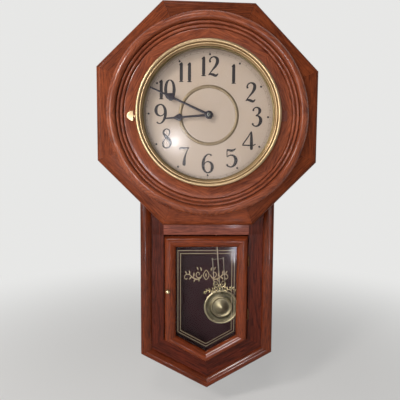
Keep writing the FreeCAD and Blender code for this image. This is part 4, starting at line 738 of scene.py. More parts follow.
# Each stroke is a row of (x, y, width) points in numeral heights, about the numeral's middle.
SIX = [(0.20, 0.41, 0.07), (0.06, 0.49, 0.04), (-0.12, 0.38, 0.07), (-0.23, 0.12, 0.105), (-0.24, -0.18, 0.11),
       (-0.15, -0.40, 0.075), (0.0, -0.48, 0.05), (0.17, -0.39, 0.085), (0.235, -0.18, 0.12), (0.17, 0.02, 0.085),
       (0.0, 0.10, 0.045), (-0.14, 0.03, 0.035), (-0.20, -0.08, 0.03)]
STROKES = {
    "0": [(True, [(0, 0.485, 0.04), (0.14, 0.38, 0.08), (0.205, 0.15, 0.11), (0.21, -0.1, 0.115), (0.15, -0.37, 0.085),
                  (0, -0.485, 0.04), (-0.15, -0.37, 0.085), (-0.21, -0.1, 0.115), (-0.205, 0.15, 0.11),
                  (-0.14, 0.38, 0.08)])],
    "1": [(False, [(0.03, 0.485, 0.05), (0.01, 0.40, 0.10), (0.0, 0.2, 0.115), (0.0, -0.2, 0.12), (0.0, -0.45, 0.115)]),
          (False, [(0.035, 0.485, 0.035), (-0.05, 0.40, 0.05), (-0.10, 0.34, 0.03)]),
          (False, [(-0.11, -0.475, 0.03), (0.0, -0.465, 0.05), (0.11, -0.475, 0.03)])],
    "2": [(False, [(-0.15, 0.20, 0.09), (-0.19, 0.30, 0.06), (-0.12, 0.43, 0.05), (0.03, 0.485, 0.055),
                   (0.18, 0.40, 0.105), (0.20, 0.23, 0.12), (0.11, 0.03, 0.09), (-0.07, -0.20, 0.05),
                   (-0.25, -0.43, 0.03)]),
          (False, [(-0.26, -0.44, 0.03), (-0.16, -0.385, 0.07), (-0.02, -0.41, 0.10), (0.13, -0.455, 0.085),
                   (0.25, -0.35, 0.03)])],
    "3": [(False, [(-0.17, 0.29, 0.09), (-0.14, 0.41, 0.05), (0.0, 0.485, 0.05), (0.14, 0.42, 0.09),
                   (0.175, 0.29, 0.11), (0.10, 0.14, 0.06), (-0.04, 0.055, 0.03)]),
          (False, [(-0.04, 0.05, 0.03), (0.10, 0.04, 0.06), (0.215, -0.09, 0.115), (0.22, -0.26, 0.125),
                   (0.12, -0.43, 0.08), (-0.02, -0.485, 0.05), (-0.16, -0.43, 0.05), (-0.20, -0.33, 0.095)])],
    "4": [(False, [(0.09, 0.47, 0.035), (-0.09, 0.16, 0.045), (-0.36, -0.22, 0.05)]),
          (False, [(-0.375, -0.235, 0.05), (-0.1, -0.245, 0.05), (0.18, -0.245, 0.05), (0.34, -0.17, 0.03)]),
          (False, [(0.095, 0.485, 0.05), (0.105, 0.25, 0.09), (0.11, -0.15, 0.12), (0.115, -0.40, 0.11),
                   (0.12, -0.475, 0.10)])],
    "5": [(False, [(-0.25, 0.43, 0.035), (-0.13, 0.385, 0.08), (0.04, 0.375, 0.09), (0.22, 0.475, 0.03)]),
          (False, [(-0.24, 0.42, 0.045), (-0.245, 0.22, 0.035), (-0.24, 0.03, 0.04)]),
          (False, [(-0.24, 0.03, 0.04), (-0.10, 0.125, 0.045), (0.08, 0.11, 0.075), (0.21, -0.04, 0.125),
                   (0.215, -0.24, 0.125), (0.10, -0.42, 0.085), (-0.05, -0.485, 0.05), (-0.20, -0.43, 0.06),
                   (-0.25, -0.34, 0.09)])],
    "6": [(False, SIX)],
    "7": [(False, [(-0.23, 0.34, 0.035), (-0.22, 0.42, 0.05), (-0.10, 0.45, 0.075), (0.08, 0.43, 0.07),
                   (0.25, 0.475, 0.03)]),
          (False, [(0.25, 0.475, 0.03), (0.12, 0.22, 0.045), (0.03, -0.08, 0.08), (0.0, -0.33, 0.12),
                   (0.01, -0.475, 0.11)])],
    "8": [(True, [(0.0, 0.485, 0.04), (-0.14, 0.40, 0.06), (-0.155, 0.25, 0.08), (-0.03, 0.09, 0.115),
                  (0.13, -0.06, 0.12), (0.205, -0.26, 0.09), (0.13, -0.43, 0.06), (-0.02, -0.485, 0.045),
                  (-0.17, -0.41, 0.055), (-0.20, -0.24, 0.06), (-0.12, -0.06, 0.045), (0.05, 0.10, 0.035),
                  (0.15, 0.26, 0.045), (0.12, 0.42, 0.05)])],
    "9": [(False, [(-x, -y, w) for x, y, w in SIX])],
}
LAYOUT = {10: [("1", -0.31), ("0", 0.13)], 11: [("1", -0.21), ("1", 0.21)], 12: [("1", -0.31), ("2", 0.19)]}
PRINT_TURN = 0.75         # degrees by which the print stands turned on its plate
STROKE_WEIGHT = 1.38
DOT_RADIUS = 1.8
TRACK = (106.6, 109.4)    # the minute track's two circles


def strip(inner, outer, back, front):
    """The four corners of a flat strip's outline."""
    return np.array([(inner, back), (outer, back), (outer, front), (inner, front)])


def hour_way(degrees):
    """A unit step (x, z) from the dial's centre towards this many degrees past the print's twelve."""
    a = math.radians(degrees + PRINT_TURN)
    return np.array([math.sin(a), math.cos(a)])


def numerals(height, circle, dots):
    """Twelve upright numerals and a dot at each hour."""
    shell = Shell()
    back, thick = DIAL.front + 0.02, 0.05
    for hour in range(1, 13):
        middle, dot = (hour_way(30 * hour) * r + [0, DIAL.z] for r in (circle, dots))
        for digit, shift in LAYOUT.get(hour, [(str(hour), 0.0)]):
            for closed, stroke in STROKES[digit]:
                rows = np.array(stroke, float) * [1, 1, STROKE_WEIGHT] + [shift, 0, 0]
                brushed(shell, rows * height, back, thick, middle, closed=closed)
        turned(shell, strip(0, DOT_RADIUS, back, back + thick), 20, *dot)
    return shell


def minute_track():
    """Two hairline circles with sixty marks between them."""
    shell = Shell()
    back, thick, hair, mark = DIAL.front + 0.015, 0.03, 0.14, 0.7
    for radius in TRACK:
        turned(shell, strip(radius - hair, radius + hair, back, back + thick), 180)
    for minute in range(60):
        ends = [(*(hour_way(6 * minute) * r + [0, DIAL.z]), mark) for r in (TRACK[0], sum(TRACK) / 2, TRACK[1])]
        brushed(shell, ends, back, thick)
    return shell


# ---------------------------------------------------------------- pieces

def dress(finish, *names):
    """Gives frame nodes their finish."""
    for name in names:
        node = NODES[name]
        if not node.material_slots:
            raise RuntimeError(f"{name} has no material slot")
        for slot in node.material_slots:
            slot.material = finish


def turned_piece(name, outline, steps, finish, body, slot, node, x=0.0, z=DIAL.z, blocks=0, sharp=50):
    """Makes a turned outline a piece that stands for a frame node."""
    shell = Shell()
    turned(shell, outline, steps, x, z, blocks)
    shell.piece(name, finish, body, slot, [node], sharp)


def framed(rows, outer, inner, outline, finish, body, slot):
    """Makes each row's mitred members a piece that stands for the row's frame node."""
    for name, node, members, seed in rows:
        shell = Shell()
        mitred(shell, outer, inner, members, outline, seed=seed)
        shell.piece(name, finish, body, slot, [node])


def ring_outline(spigot):
    """The turned ring's outline: a flat, two small beads and the big round, each set off by a groove.

    Rows are measured inwards from the ring's outer edge, and up from its flat or the octagon's face.
    """
    ring, face = Extent("head_ring"), HEAD.front
    outer, sight, flat = ring.right, ring.right - 59, face + 6
    return np.concatenate([
        rounded([(spigot, ring.back, 0.3), (sight, ring.back, 0.3), (sight, flat, 0.8)], 5),
        [(sight + 1.2, flat), (outer - 33.3, flat), (outer - 32.8, flat), (outer - 31.8, flat - 0.3),
         (outer - 31.0, flat - 3.0)],
        bead(outer - 30.2, 5.0, flat - 1.8, flat - 1.2, flat + 1.6),
        [(outer - 24.8, flat - 2.9), (outer - 24.0, flat - 2.8)],
        bead(outer - 23.6, 4.6, flat - 0.9, flat + 0.6, flat + 3.2),
        [(outer - 18.8, flat - 1.5), (outer - 18.2, flat - 1.4)],
        bead(outer - 17.9, 16.4, flat + 1.2, face + 3.0, ring.front)[:-4],
        [(outer - 1.6, face + 3.2), (outer - 1.2, face + 1.7), (outer - 0.6, face + 0.7), (outer, face + 0.3),
         (outer, face + 0.02), (spigot, face + 0.02)]])


class CLOCK_OT_head(bpy.types.Operator):
    """Octagon of eight mitred staves and the turned ring that lies on it"""
    bl_idname = "clock.head"
    bl_label = "Head"
    bl_options = {"REGISTER", "UNDO"}

    def execute(self, context):
        woods = context.scene.clock_wood
        # Painted light and shade on the staves: boards makes the left stave lightest and the top one darkest.
        oak = wood("Head oak", woods.head_light, woods.head_dark, Finish.grain_map, rough=0.38,
                   coat=woods.coat * 0.15, gloss=0.08, boards=(0.82, 0.85, 0.74, 0.98, 0.88, 1.0, 0.88, 0.64))
        round_dial, round_spigot = 0.8, 0.3     # clearances
        bore = DIAL.right + round_dial
        wide = HEAD.right - bore
        outline = section([(0, HEAD.back, 0.8), (0, HEAD.front, 8.5), (wide, HEAD.front, 0.3), (wide, HEAD.back, 0.3)],
                          wide, 10)
        framed([("octagon_staves", "head_octagon", [(k, (k + 1) % 8) for k in range(8)], 0)],
               octagon(HEAD.right), octagon(bore), outline, oak, "case", "head_wood")

        turned_oak = wood("Turned oak", woods.ring_light, woods.ring_dark, Finish.grain_map, rough=0.24,
                          coat=woods.coat * 1.15, seed=4.0)
        turned_piece("turned_ring", ring_outline(bore - round_spigot), 288, turned_oak, "case", "ring_wood",
                     "head_ring", blocks=8)
        return {"FINISHED"}


def bezel_outline(seat):
    """The spun ring's outline, out from its glass's seat: rolled rim, small bead and slope to the sight edge."""
    ring, lip = Extent("bezel_ring"), 114.3
    outer, crest, sight = ring.right, ring.front, ring.right - 11.6
    a = np.linspace(0, math.pi, 26)
    return np.concatenate([
        [(seat, ring.back), (outer, ring.back)],
        arc(a, outer - 3.2, crest - 3.2, 3.2, 3.2), arc(a, outer - 7.9, crest - 3.6, 1.4, 1.25),
        rounded([(sight + 1.6, lip + 2.6, 0.6), (sight, lip + 1, 0.5), (sight, lip, 0.2), (seat, lip, 0.1)], 5)])


def dome_outline():
    """The domed glass's outline: a circle through its middle and its edge, and the same one behind it."""
    glass, thick, edge = Extent("bezel_glass"), 2.0, 113.5
    rise = glass.front - edge
    radius = (glass.right ** 2 + rise ** 2) / (2 * rise)
    r = np.linspace(0, glass.right, 44)
    face = np.stack([r, glass.front - radius + np.sqrt(radius ** 2 - r ** 2)], 1)
    return np.concatenate([face, face[::-1] - [0, thick]])


def pull_tab(rim):
    """A half-round plate that stands out from the bezel's rim, and its short neck.

    Down the plate t goes from -1 to 1, and its reach at t is that of a half circle, sqrt(1 - t^2).
    Towards that edge its crown falls off as sqrt(1 - s^6), with s the share of the reach.
    """
    tab = Extent("bezel_tab")
    half = (tab.top - tab.foot) / 2
    root, tip, tall = tab.left + half * 1.26, tab.left + half * 0.12, half * 0.9
    t = np.sin(np.linspace(-math.pi / 2 + 0.02, math.pi / 2 - 0.02, 44))[:, None]
    bulge = np.sqrt(1 - t ** 2)
    share = np.concatenate([np.linspace(0, 1, 14), np.linspace(1, 0, 14)])
    over = np.repeat([0, 1], 14)
    crown = tab.back + 0.02 + (tab.front - tab.back) * (0.7 + 0.3 * np.sqrt(1 - share ** 6)) * bulge ** 0.15
    shell = Shell()
    shell.grid(root - (root - tip) * bulge * share, tab.back + over * (crown - tab.back), tab.z + tall * t)
    meet = -math.sqrt(rim ** 2 - (tab.z - DIAL.z) ** 2) - 0.05
    board(shell, root - 2, meet, tab.z - 0.9, tab.z + 0.9, tab.back, tab.back + 0.45, steps=6)
    return shell


class CLOCK_OT_bezel(bpy.types.Operator):
    """Spun brass bezel, its domed glass and the half-round tab that opens it"""
    bl_idname = "clock.bezel"
    bl_label = "Bezel"
    bl_options = {"REGISTER", "UNDO"}

    def execute(self, context):
        brass = context.scene.clock_metal.brass
        outer = Extent("bezel_ring").right
        # Painted shade and dark reflection in the spun brass: darker on the inner slope, in the valley beside the bead
        # and at the foot of the rolled rim.
        spun = ringed_metal("Spun brass", brass, linear(132, 100, 62), 0.0, DIAL.z,
                            ((0, 0.5), (outer - 9.6, 0.5), (outer - 8.6, 0.12), (outer - 7.4, 0.05),
                             (outer - 6.7, 0.6), (outer - 6.0, 0.6), (outer - 5.2, 0.3), (outer - 1.5, 0.0),
                             (outer - 0.2, 0.6)), 0.31)
        turned_piece("spun_bezel", bezel_outline(Extent("bezel_glass").right + 0.3), 300, spun, "bezel", "brass",
                     "bezel_ring")
        turned_piece("domed_glass", dome_outline(), 128, clear_glass("Dial glass", (0.97, 0.97, 0.965)), "bezel",
                     "glass", "bezel_glass", sharp=60)
        # Painted highlight: the tab's brass is made lighter than the bezel's.
        pull_tab(outer).piece("bezel_pull_tab", metal("Tab brass with painted highlight", toned(brass, 1.08), rough=0.34, tarnish=0.05),
                              "bezel", "brass", ["bezel_tab"], sharp=50)
        # Painted shade: the sight ring's brass is a dark olive, with tarnish patches.
        dress(metal("Sight brass with painted shade", linear(138, 124, 90), rough=0.4, tarnish=0.5), "bezel_sight_ring")
        # The bezel's hinge is given a dark wood brown, close to the ring it lies on.
        dress(plastic("Wood-brown hinge", linear(106, 50, 31), rough=0.38), "bezel_hinge_own_leaf",
              "bezel_hinge_case_leaf", "bezel_hinge_pin")
        return {"FINISHED"}


class CLOCK_OT_dial(bpy.types.Operator):
    """Cream dial with its numerals, dots, minute track and raised brass ring"""
    bl_idname = "clock.dial"
    bl_label = "Dial"
    bl_options = {"REGISTER", "UNDO"}

    def execute(self, context):
        dial = context.scene.clock_dial
        dress(dial_paint("Dial enamel", dial.cream), "dial_plate")
        numerals(dial.numeral_height * 1000, dial.numeral_circle * 1000, dial.dot_circle * 1000).piece(
            "dial_numerals", ink("Numeral ink", dial.ink, worn=0.18), "case", "dial_cream", sharp=60)
        minute_track().piece("dial_minute_track", ink("Track ink", linear(122, 111, 99)), "case", "dial_cream",
                             sharp=60)
        ring, half_wide = Extent("dial_centre_ring"), 2.8
        a = np.linspace(0, math.pi, 24)
        outline = np.stack([ring.right - half_wide + half_wide * np.cos(a),
                            ring.back + (ring.front - ring.back) * np.sin(a) ** 0.6], 1)
        turned_piece("dial_raised_ring", outline, 200,
                     metal("Dull dial brass", linear(152, 136, 112), rough=0.42, tarnish=0.4), "case", "brass",
                     "dial_centre_ring", sharp=60)
        return {"FINISHED"}


def hand(angle, depth, length, bulb, bulb_half):
    """A spade hand: its half width is the largest of its round boss, its tapering blade and its bulb.

    The bulb swells as a sine up to its middle, and beyond it falls off by a power of what is left.
    Across the hand the top is crowned, by the heights listed for shares of the half width.
    """
    boss, thick = 7, 0.8
    t = np.concatenate([np.linspace(-boss, boss, 29), np.linspace(boss + 0.3, bulb - 1.5 * bulb_half, 14),
                        np.linspace(bulb - 1.4 * bulb_half, bulb + 2.6 * bulb_half, 60),
                        np.linspace(bulb + 2.7 * bulb_half, length, 12)])
    blade = np.interp(t, [0, bulb - bulb_half, bulb + bulb_half, length], [2.2, 1.7, 1.75, 1.15])
    rise = np.clip((t - (bulb - 1.15 * bulb_half)) / (1.15 * bulb_half), 0, 1)
    fall = np.clip(((bulb + 2.3 * bulb_half) - t) / (2.3 * bulb_half), 0, 1)
    swell = np.where(t < bulb, np.sin(rise * math.pi / 2) ** 1.15, fall ** 1.55 * (1 + 0.55 * (1 - fall)))
    half = np.maximum(np.maximum(np.sqrt(np.clip(boss ** 2 - t ** 2, 0, None)), np.where(t < 0, 0, blade)),
                      bulb_half * swell)
    half[0] = 0.02
    share = np.array([-1, -1, -0.8, -0.4, 0, 0.4, 0.8, 1, 1])
    height = np.array([0, 0.62, 0.84, 0.97, 1, 0.97, 0.84, 0.62, 0])
    across, along = half[:, None] * share, t[:, None]
    c, s = math.cos(angle), math.sin(angle)
    shell = Shell()
    shell.grid(along * s + across * c, depth + thick * height, DIAL.z + along * c - across * s)
    return shell


class CLOCK_OT_hands(bpy.types.Operator):
    """Spade hands with their nuts"""
    bl_idname = "clock.hands"
    bl_label = "Hands"
    bl_options = {"REGISTER", "UNDO"}

    def execute(self, context):
        finish = blued("Blued hands")
        for name, degrees, length, bulb, bulb_half in (("minute_hand", 294, 110, 71, 7),
                                                       ("hour_hand", 264.5, 77, 51, 6.4)):
            hand(math.radians(degrees), Extent(name).back, length, bulb, bulb_half).piece(
                name + "_blade", finish, name, "hand_blue", [name], sharp=55)
        nut = Extent("hand_cap_nut")
        outline = rounded([(0, nut.back, 0), (3.55, nut.back, 0.2), (3.55, nut.front - 0.6, 0.5),
                           (2.4, nut.front, 0.5), (0.9, nut.front, 0.2), (0.8, nut.front - 0.5, 0.2),
                           (0, nut.front - 0.5, 0)], 5)
        turned_piece("hand_nut", outline, 48, metal("Nut metal", linear(130, 132, 128), rough=0.3), "minute_hand",
                     "hand_nut", "hand_cap_nut")
        dress(metal("Nut brass", context.scene.clock_metal.brass, rough=0.3), "centre_nut")
        return {"FINISHED"}


BACK_WALL, FRONT_WALL = 5.5, 59.5     # depths between which the box is hollow


def behind_panel(x, y, z):
    """Whether a point of the panel faces the hollow."""
    return y > -FRONT_WALL


def dress_box(woods):
    """Gives the box behind head and drop its oak, which is made dark where a point faces the hollow."""
    side_wall = Extent("case_sides").right - 9.6
    floor = Extent("case_foot_boards").foot + 10.4
    ceiling = Extent("case_top").foot + 0.3

    def deep(y):
        """Whether a point lies between the back and the panel."""
        return (y < -BACK_WALL) * (y > -FRONT_WALL)

    for name, node, grain, rough, coat, inside in (
            ("Cabinet side oak", "case_sides", along_z, 0.34, 0.7, lambda x, y, z: (abs(x) < side_wall) * deep(y)),
            ("Cabinet top oak", "case_top", along_x, 0.36, 0.6, lambda x, y, z: (z < ceiling) * deep(y)),
            ("Cabinet foot oak", "case_foot_boards", along_foot, 0.34, 0.7,
             lambda x, y, z: (z - SLOPE * abs(x) > floor) * deep(y))):
        dress(wood(name, woods.trunk_light, woods.trunk_dark, grain, rough, woods.coat * coat, inside), node)


def front_panel(woods):
    """Gives the flat panel its oak, and puts boards in place of its top rail: one between the upper ends of
    the two stiles, the two ends, and a board across all of them under the head's edge."""
    light, dark, coat = woods.panel_light, woods.panel_dark, woods.coat * 0.45
    stile_oak = wood("Panel stile oak", light, dark, along_z, 0.36, coat, behind_panel, figure=0.42, gloss=0.07)
    foot_oak = wood("Panel foot oak", light, dark, along_foot, 0.36, coat, behind_panel, figure=0.3, seed=2.0,
                    gloss=0.07)
    # Painted sheen: the top rail takes its lighter, pinker tones.
    rail_oak_painted_sheen = wood("Panel top oak", woods.rail_light, woods.rail_dark, along_x, 0.36, woods.coat * 0.6, behind_panel,
                    figure=0.3, seed=3.0)
    dress(stile_oak, "panel_stiles")
    dress(foot_oak, "panel_foot_rails")
    rail, face = Extent("panel_top_rail"), Extent("panel_stiles").front
    gap, joint, edge, tall = 2, 0.1, MOULDING_WIDE, 32
    left, right = DOOR.x - DOOR_HALF - gap, DOOR.x + DOOR_HALF + gap
    ends, top_board = Shell(), Shell()
    board(ends, rail.left, left, rail.foot, rail.top, rail.back, face)
    board(ends, right, rail.right, rail.foot, rail.top, rail.back, face)
    board(ends, TRUNK.left + edge, TRUNK.right - edge, rail.top - tall, rail.top, face, rail.front)
    board(top_board, left + joint, right - joint, rail.foot, rail.top, rail.back, face)
    ends.piece("panel_stile_tops", stile_oak, "case", "case_wood", sharp=15)
    top_board.piece("panel_top_board", rail_oak_painted_sheen, "case", "case_wood", ["panel_top_rail"], sharp=15)


class CLOCK_OT_case(bpy.types.Operator):
    """Mouldings, front panel, box and back of the drop"""
    bl_idname = "clock.case"
    bl_label = "Cabinet"
    bl_options = {"REGISTER", "UNDO"}

    def execute(self, context):
        woods = context.scene.clock_wood
        moulded = wood("Moulding oak", woods.trunk_light, woods.trunk_dark, Finish.grain_map, rough=0.22,
                       coat=woods.coat * 1.1, seed=8.0, gloss=0.06)
        wide, back, front = MOULDING_WIDE, TRUNK.back, TRUNK.front
        outline = section([(0, back, 0.3), (0, front - 0.2, 4.8), (wide * 0.32, front, 1.4),
                           (wide * 0.56, front - 0.3, 3), (wide * 0.9, front - 4.6, 2.6),
                           (wide * 0.985, front - 6.6, 0.8), (wide, back, 0.2)], wide)
        framed([("upright_mouldings", "trunk_mouldings", [(4, 0), (1, 2)], 11),
                ("sloping_mouldings", "foot_mouldings", [(3, 4), (2, 3)], 15)],
               drop_outline(TRUNK.right, TRUNK.top, FOOT.foot),
               inset_drop(TRUNK.right, TRUNK.top, FOOT.foot, wide, 0, 16.5), outline, moulded, "case",
               "moulding_wood")

        dress_box(woods)
        front_panel(woods)
        # The back board's front, which faces the hollow, is a dark purple-brown.
        dress(sheet_board("Back board", linear(58, 22, 27), linear(122, 88, 58), 4.5), "back_board")
        dress(sheet_board("Dial backing", linear(120, 100, 78), linear(132, 108, 82), 96.5), "dial_board")
        dress(metal("Zinc plate", context.scene.clock_metal.steel, rough=0.32, tarnish=0.3), "hanger_plate",
              "hanger_screws", "dial_screws", "battery_contacts", "door_strike_plate", "stepper_stator")
        return {"FINISHED"}


def gilding():
    """Two fine lines that follow the glass, and an ornament of scrolls and leaves about a lozenge."""
    shell = Shell()
    depth, thick, middle = Extent("door_glass").back - 0.12, 0.06, (DOOR.x, DIAL.z - 290.0)
    outline = np.array([(0, depth), (0, depth + thick), (1, depth + thick), (1, depth)])
    for half, top, tip in ((53.0, 243.5, 427.8), (48.3, 249.0, 422.7)):
        lines = half, DIAL.z - top, DIAL.z - tip
        mitred(shell, drop_outline(*lines, DOOR.x), inset_drop(*lines, 0.9, 0.9, 0.9, DOOR.x),
               [(k, (k + 1) % 5) for k in range(5)], outline, steps=2, joint=0.0)

    def stroke(rows, hand=1, closed=False):
        """A brushed line, drawn about the ornament's middle and mirrored where hand is -1."""
        brushed(shell, np.array(rows, float) * [hand, 1, 1], depth, thick, middle, (1, 1.2), closed)

    def leaf(x, y, angle, length, width, hand=1):
        """A stroke that bows to its left and is widest half way along."""
        c, s = math.cos(math.radians(angle)), math.sin(math.radians(angle))
        stroke([(x + c * length * t - s * length * bend, y + s * length * t + c * length * bend, width * w)
                for t, w, bend in ((0, 0.15, 0), (0.25, 0.75, 0.06), (0.5, 1, 0.09), (0.8, 0.55, 0.06),
                                   (1, 0.08, 0))], hand)

    stroke([(0, 7.5, 1.3), (5.2, 0, 1.3), (0, -7.5, 1.3), (-5.2, 0, 1.3)], closed=True)
    leaf(0, -3.2, 90, 6.4, 2.6)
    for hand in (1, -1):
        turn = np.linspace(0, 1, 12)
        a, r = 2.2 * math.pi * turn + 3.4, 5.6 * (1 - turn) + 1.0
        stroke(np.stack([14.5 + r * np.cos(a), 1.2 + r * np.sin(a), 1.5 - 0.6 * turn], 1), hand)
        stroke([(7.2, 0.6, 0.6), (11, -4.6, 1.6), (18, -6.8, 2.0), (26, -3.4, 1.8), (32, 1.0, 1.4),
                (38.5, 0.2, 1.2), (40.5, -4.2, 1.0), (37.2, -6.6, 1.2), (34.8, -4.4, 1.0)], hand)
        for row in ((9, 6, 70, 7, 2.4), (20, -6.2, -60, 6, 2.2), (24, -3.6, 95, 8, 2.6), (27, -3, -45, 6.5, 2.4),
                    (31, 0.6, 80, 7, 2.4), (15, 7.6, 60, 6, 2.2), (36, 1.4, 50, 6, 2.0),
                    (12.5, -5.4, -80, 5.5, 2.0)):
            leaf(*row, hand)
    return shell


class CLOCK_OT_door(bpy.types.Operator):
    """Mitred door frame, its glass with gilded lines and ornament, knob, catch and hinges"""
    bl_idname = "clock.door"
    bl_label = "Door"
    bl_options = {"REGISTER", "UNDO"}

    def execute(self, context):
        woods, metals = context.scene.clock_wood, context.scene.clock_metal
        oak = wood("Door oak", woods.door_light, woods.door_dark, Finish.grain_map, rough=0.22,
                   coat=woods.coat * 1.15, seed=5.0, gloss=0.08)
        wide, lap, rebate, back, front = 21.0, 3.5, DOOR.back + 11, DOOR.back, DOOR.front
        outline = section([(0, back, 0.5), (0, front - 0.2, 9.0), (wide * 0.48, front, 1.0),
                           (wide * 0.72, front - 1.4, 3), (wide * 0.94, front - 5.2, 2.2), (wide, rebate, 0.3),
                           (wide - lap, rebate, 0.2), (wide - lap, back, 0.4)], wide)
        framed([("door_stile_frames", "door_stiles", [(4, 0), (1, 2)], 21),
                ("door_foot_frames", "door_foot_rails", [(3, 4), (2, 3)], 25),
                ("door_top_frame", "door_top_rail", [(0, 1)], 29)],
               drop_outline(DOOR_HALF, DOOR.top, DOOR_TIP, DOOR.x),
               inset_drop(DOOR_HALF, DOOR.top, DOOR_TIP, wide, 20.5, 17, DOOR.x), outline, oak, "door", "door_wood")
        dress(clear_glass("Door glass", (0.95, 0.94, 0.95), bend=1.23, rough=0.085), "door_glass")
        gilding().piece("door_gilding", ink("Gilding", metals.gilding, rough=0.34, metallic=0.55), "door",
                        "door_glass", sharp=60)
        dress(wood("Bead oak", woods.trunk_dark, woods.panel_dark, along_z, rough=0.5, coat=0.1),
              "door_glass_beads")

        knob = Extent("door_knob")
        radius = (knob.right - knob.left) / 2
        a = np.linspace(0, 2.45, 22)
        ball = np.stack([radius * np.sin(a), knob.front - radius * 0.92 + radius * 0.92 * np.cos(a)], 1)
        outline = np.concatenate([ball, [(1.9, front + 2.0), (2.0, front + 1.2), (3.3, front + 0.8),
                                         (3.6, front + 0.3), (3.5, front + 0.02), (1.4, front),
                                         (1.4, knob.back), (0, knob.back)]])
        turned_piece("door_ball_knob", outline, 56,
                     metal("Door brass", metals.brass, rough=0.22, tarnish=metals.tarnish), "door", "brass",
                     "door_knob", knob.x, knob.z)
        dress(metal("Worn hinge brass", linear(112, 78, 54), rough=0.42, tarnish=0.7), "door_hinge_case_leaves",
              "door_hinge_door_leaves", "door_hinge_pins")
        dress(plastic("Catch plastic", linear(36, 30, 28)), "door_catch_body")
        dress(metal("Magnet", linear(120, 120, 124), rough=0.35, tarnish=0.5), "door_catch_magnet")
        return {"FINISHED"}


def pendulum_rods(back):
    """A middle rod, two side rods, and a thin bar across their upper ends with a swelling collar on each."""
    shell = Shell()
    side, top, foot = 10.5, -(BOB_DROP - 96.0), -335
    for x, start, end, radius, flat in ((0, -60.6, -BOB_DROP, 1.2, 0.6), (-side, top, foot, 0.9, 0.85),
                                        (side, top, foot, 0.9, 0.85)):
        drawn_tube(shell, straight((x, start), (x, end), 24), radius, back + 0.8, flat, sides=14)
    bar = top - 2.4
    drawn_tube(shell, straight((-side - 1.4, bar), (side + 1.4, bar), 24), 0.4, back + 1.5, 0.6)
    swell = np.sin(math.pi * np.linspace(0, 1, 14)) ** 0.8
    for x in (-side, side):
        drawn_tube(shell, straight((x, bar + 2.6), (x, bar - 0.8), 14), 0.25 + 1.25 * swell, back + 1.0, 0.66)
    return shell


def pendulum_scrolls(back, plate):
    """Two spirals over a foot of two waves, with leaves along it, three beads and the bar behind them.

    A spiral's radius shrinks evenly with its angle. A leaf's line bows by a sine, and its radius is a
    sine of its length to the power 0.75.
    """
    shell = Shell()
    middle, depth = -(BOB_DROP - 47.0), plate - 0.75
    t, s, v = np.linspace(0, 1, 56), np.linspace(0, 1, 16), np.linspace(0, math.pi, 14)
    for hand in (-1, 1):
        angle, grow = -1.2 + t * 2.35 * math.pi, 5.2 - 3.6 * t
        path = np.stack([hand * (7.2 + grow * np.cos(angle)), middle + grow * np.sin(angle)], 1)
        drawn_tube(shell, path, 1.05 - 0.3 * t, depth, 0.66)
        foot = [(9.2, -4.4), (5.0, -8.5), (6.5, -13.0), (14.0, -14.2), (22.0, -12.4), (29.0, -13.6), (31.0, -16.6),
                (28.0, -17.6)]
        drawn_tube(shell, spline([(hand * x, middle + h) for x, h in foot], steps=8), 1.2, depth, 0.58)
        for x, h, turn, length, wide in ((4, -9, 100, 9, 2.2), (9, -13.4, 62, 7.5, 2.0), (14, -14, 80, 7.5, 2.2),
                                         (19, -13, 58, 7, 2.0), (24, -12.6, 40, 6.5, 1.9), (12, -14.4, -70, 6, 2.0),
                                         (18, -13.6, -50, 6, 1.9), (25, -13.2, -60, 5, 1.7),
                                         (5.5, -12, -75, 7, 2.1)):
            ca, sa = math.cos(math.radians(turn)), math.sin(math.radians(turn))
            bow = np.sin(math.pi * s)
            path = np.stack([hand * (x + ca * length * s - sa * 0.9 * bow),
                             middle + h + sa * length * s + ca * 0.9 * bow], 1)
            drawn_tube(shell, path, 0.2 + wide * np.sin(math.pi * s ** 0.75) * 0.62, depth, 0.38, sides=10)
    for h, r in ((-10.5, 2.0), (-4.5, 1.5), (-15.5, 1.6)):
        drawn_tube(shell, np.stack([0 * v, middle + h - r * np.cos(v)], 1), 0.05 + r * np.sin(v), depth, 0.38)
    drawn_tube(shell, straight((-11.8, middle - 7.0), (11.8, middle - 7.0), 20), 1.7, (back + 1.6 + plate) / 2,
               (plate - back - 2.2) / 3.6, power=0.7)
    return shell


def bob_outline():
    """The bob's outline: a rolled rim, a hollow, a ridge round the boss and the boss itself.

    Over the distance out, the height is a level with a shallow sine cut from it, plus a bell for the
    ridge, a slope inside the ridge and a flattened bell for the boss. The shell is one thickness behind.
    """
    r, thick, ridge_at = BOB_RADIUS, 1.0, 19.0
    a = np.linspace(0, math.pi, 18)
    edge = r - 4.6
    dish = edge * (1 - np.linspace(0, 1, 72))
    hollow = BOB.back + 2.6 - 0.9 * np.sin(np.clip((dish - 20.5) / (edge - 20.5), 0, 1) * math.pi)
    ridge = 2.3 * np.exp(-((dish - ridge_at) / 1.7) ** 2)
    slope = 0.5 * np.clip((ridge_at - dish) / 10, 0, 1)
    boss = (BOB.front - BOB.back - 3.6) * np.exp(-(dish / 9.4) ** 1.9)
    face = np.stack([dish, hollow + ridge + slope + boss], 1)
    inside = r - thick - 0.1
    return np.concatenate([[(r, BOB.back)], arc(a, r - 2.3, BOB.back + 3.0, 2.3, 2.3), face,
                           face[::-1] - [0, thick], [(inside, BOB.back + 1.2), (inside, BOB.back)]])


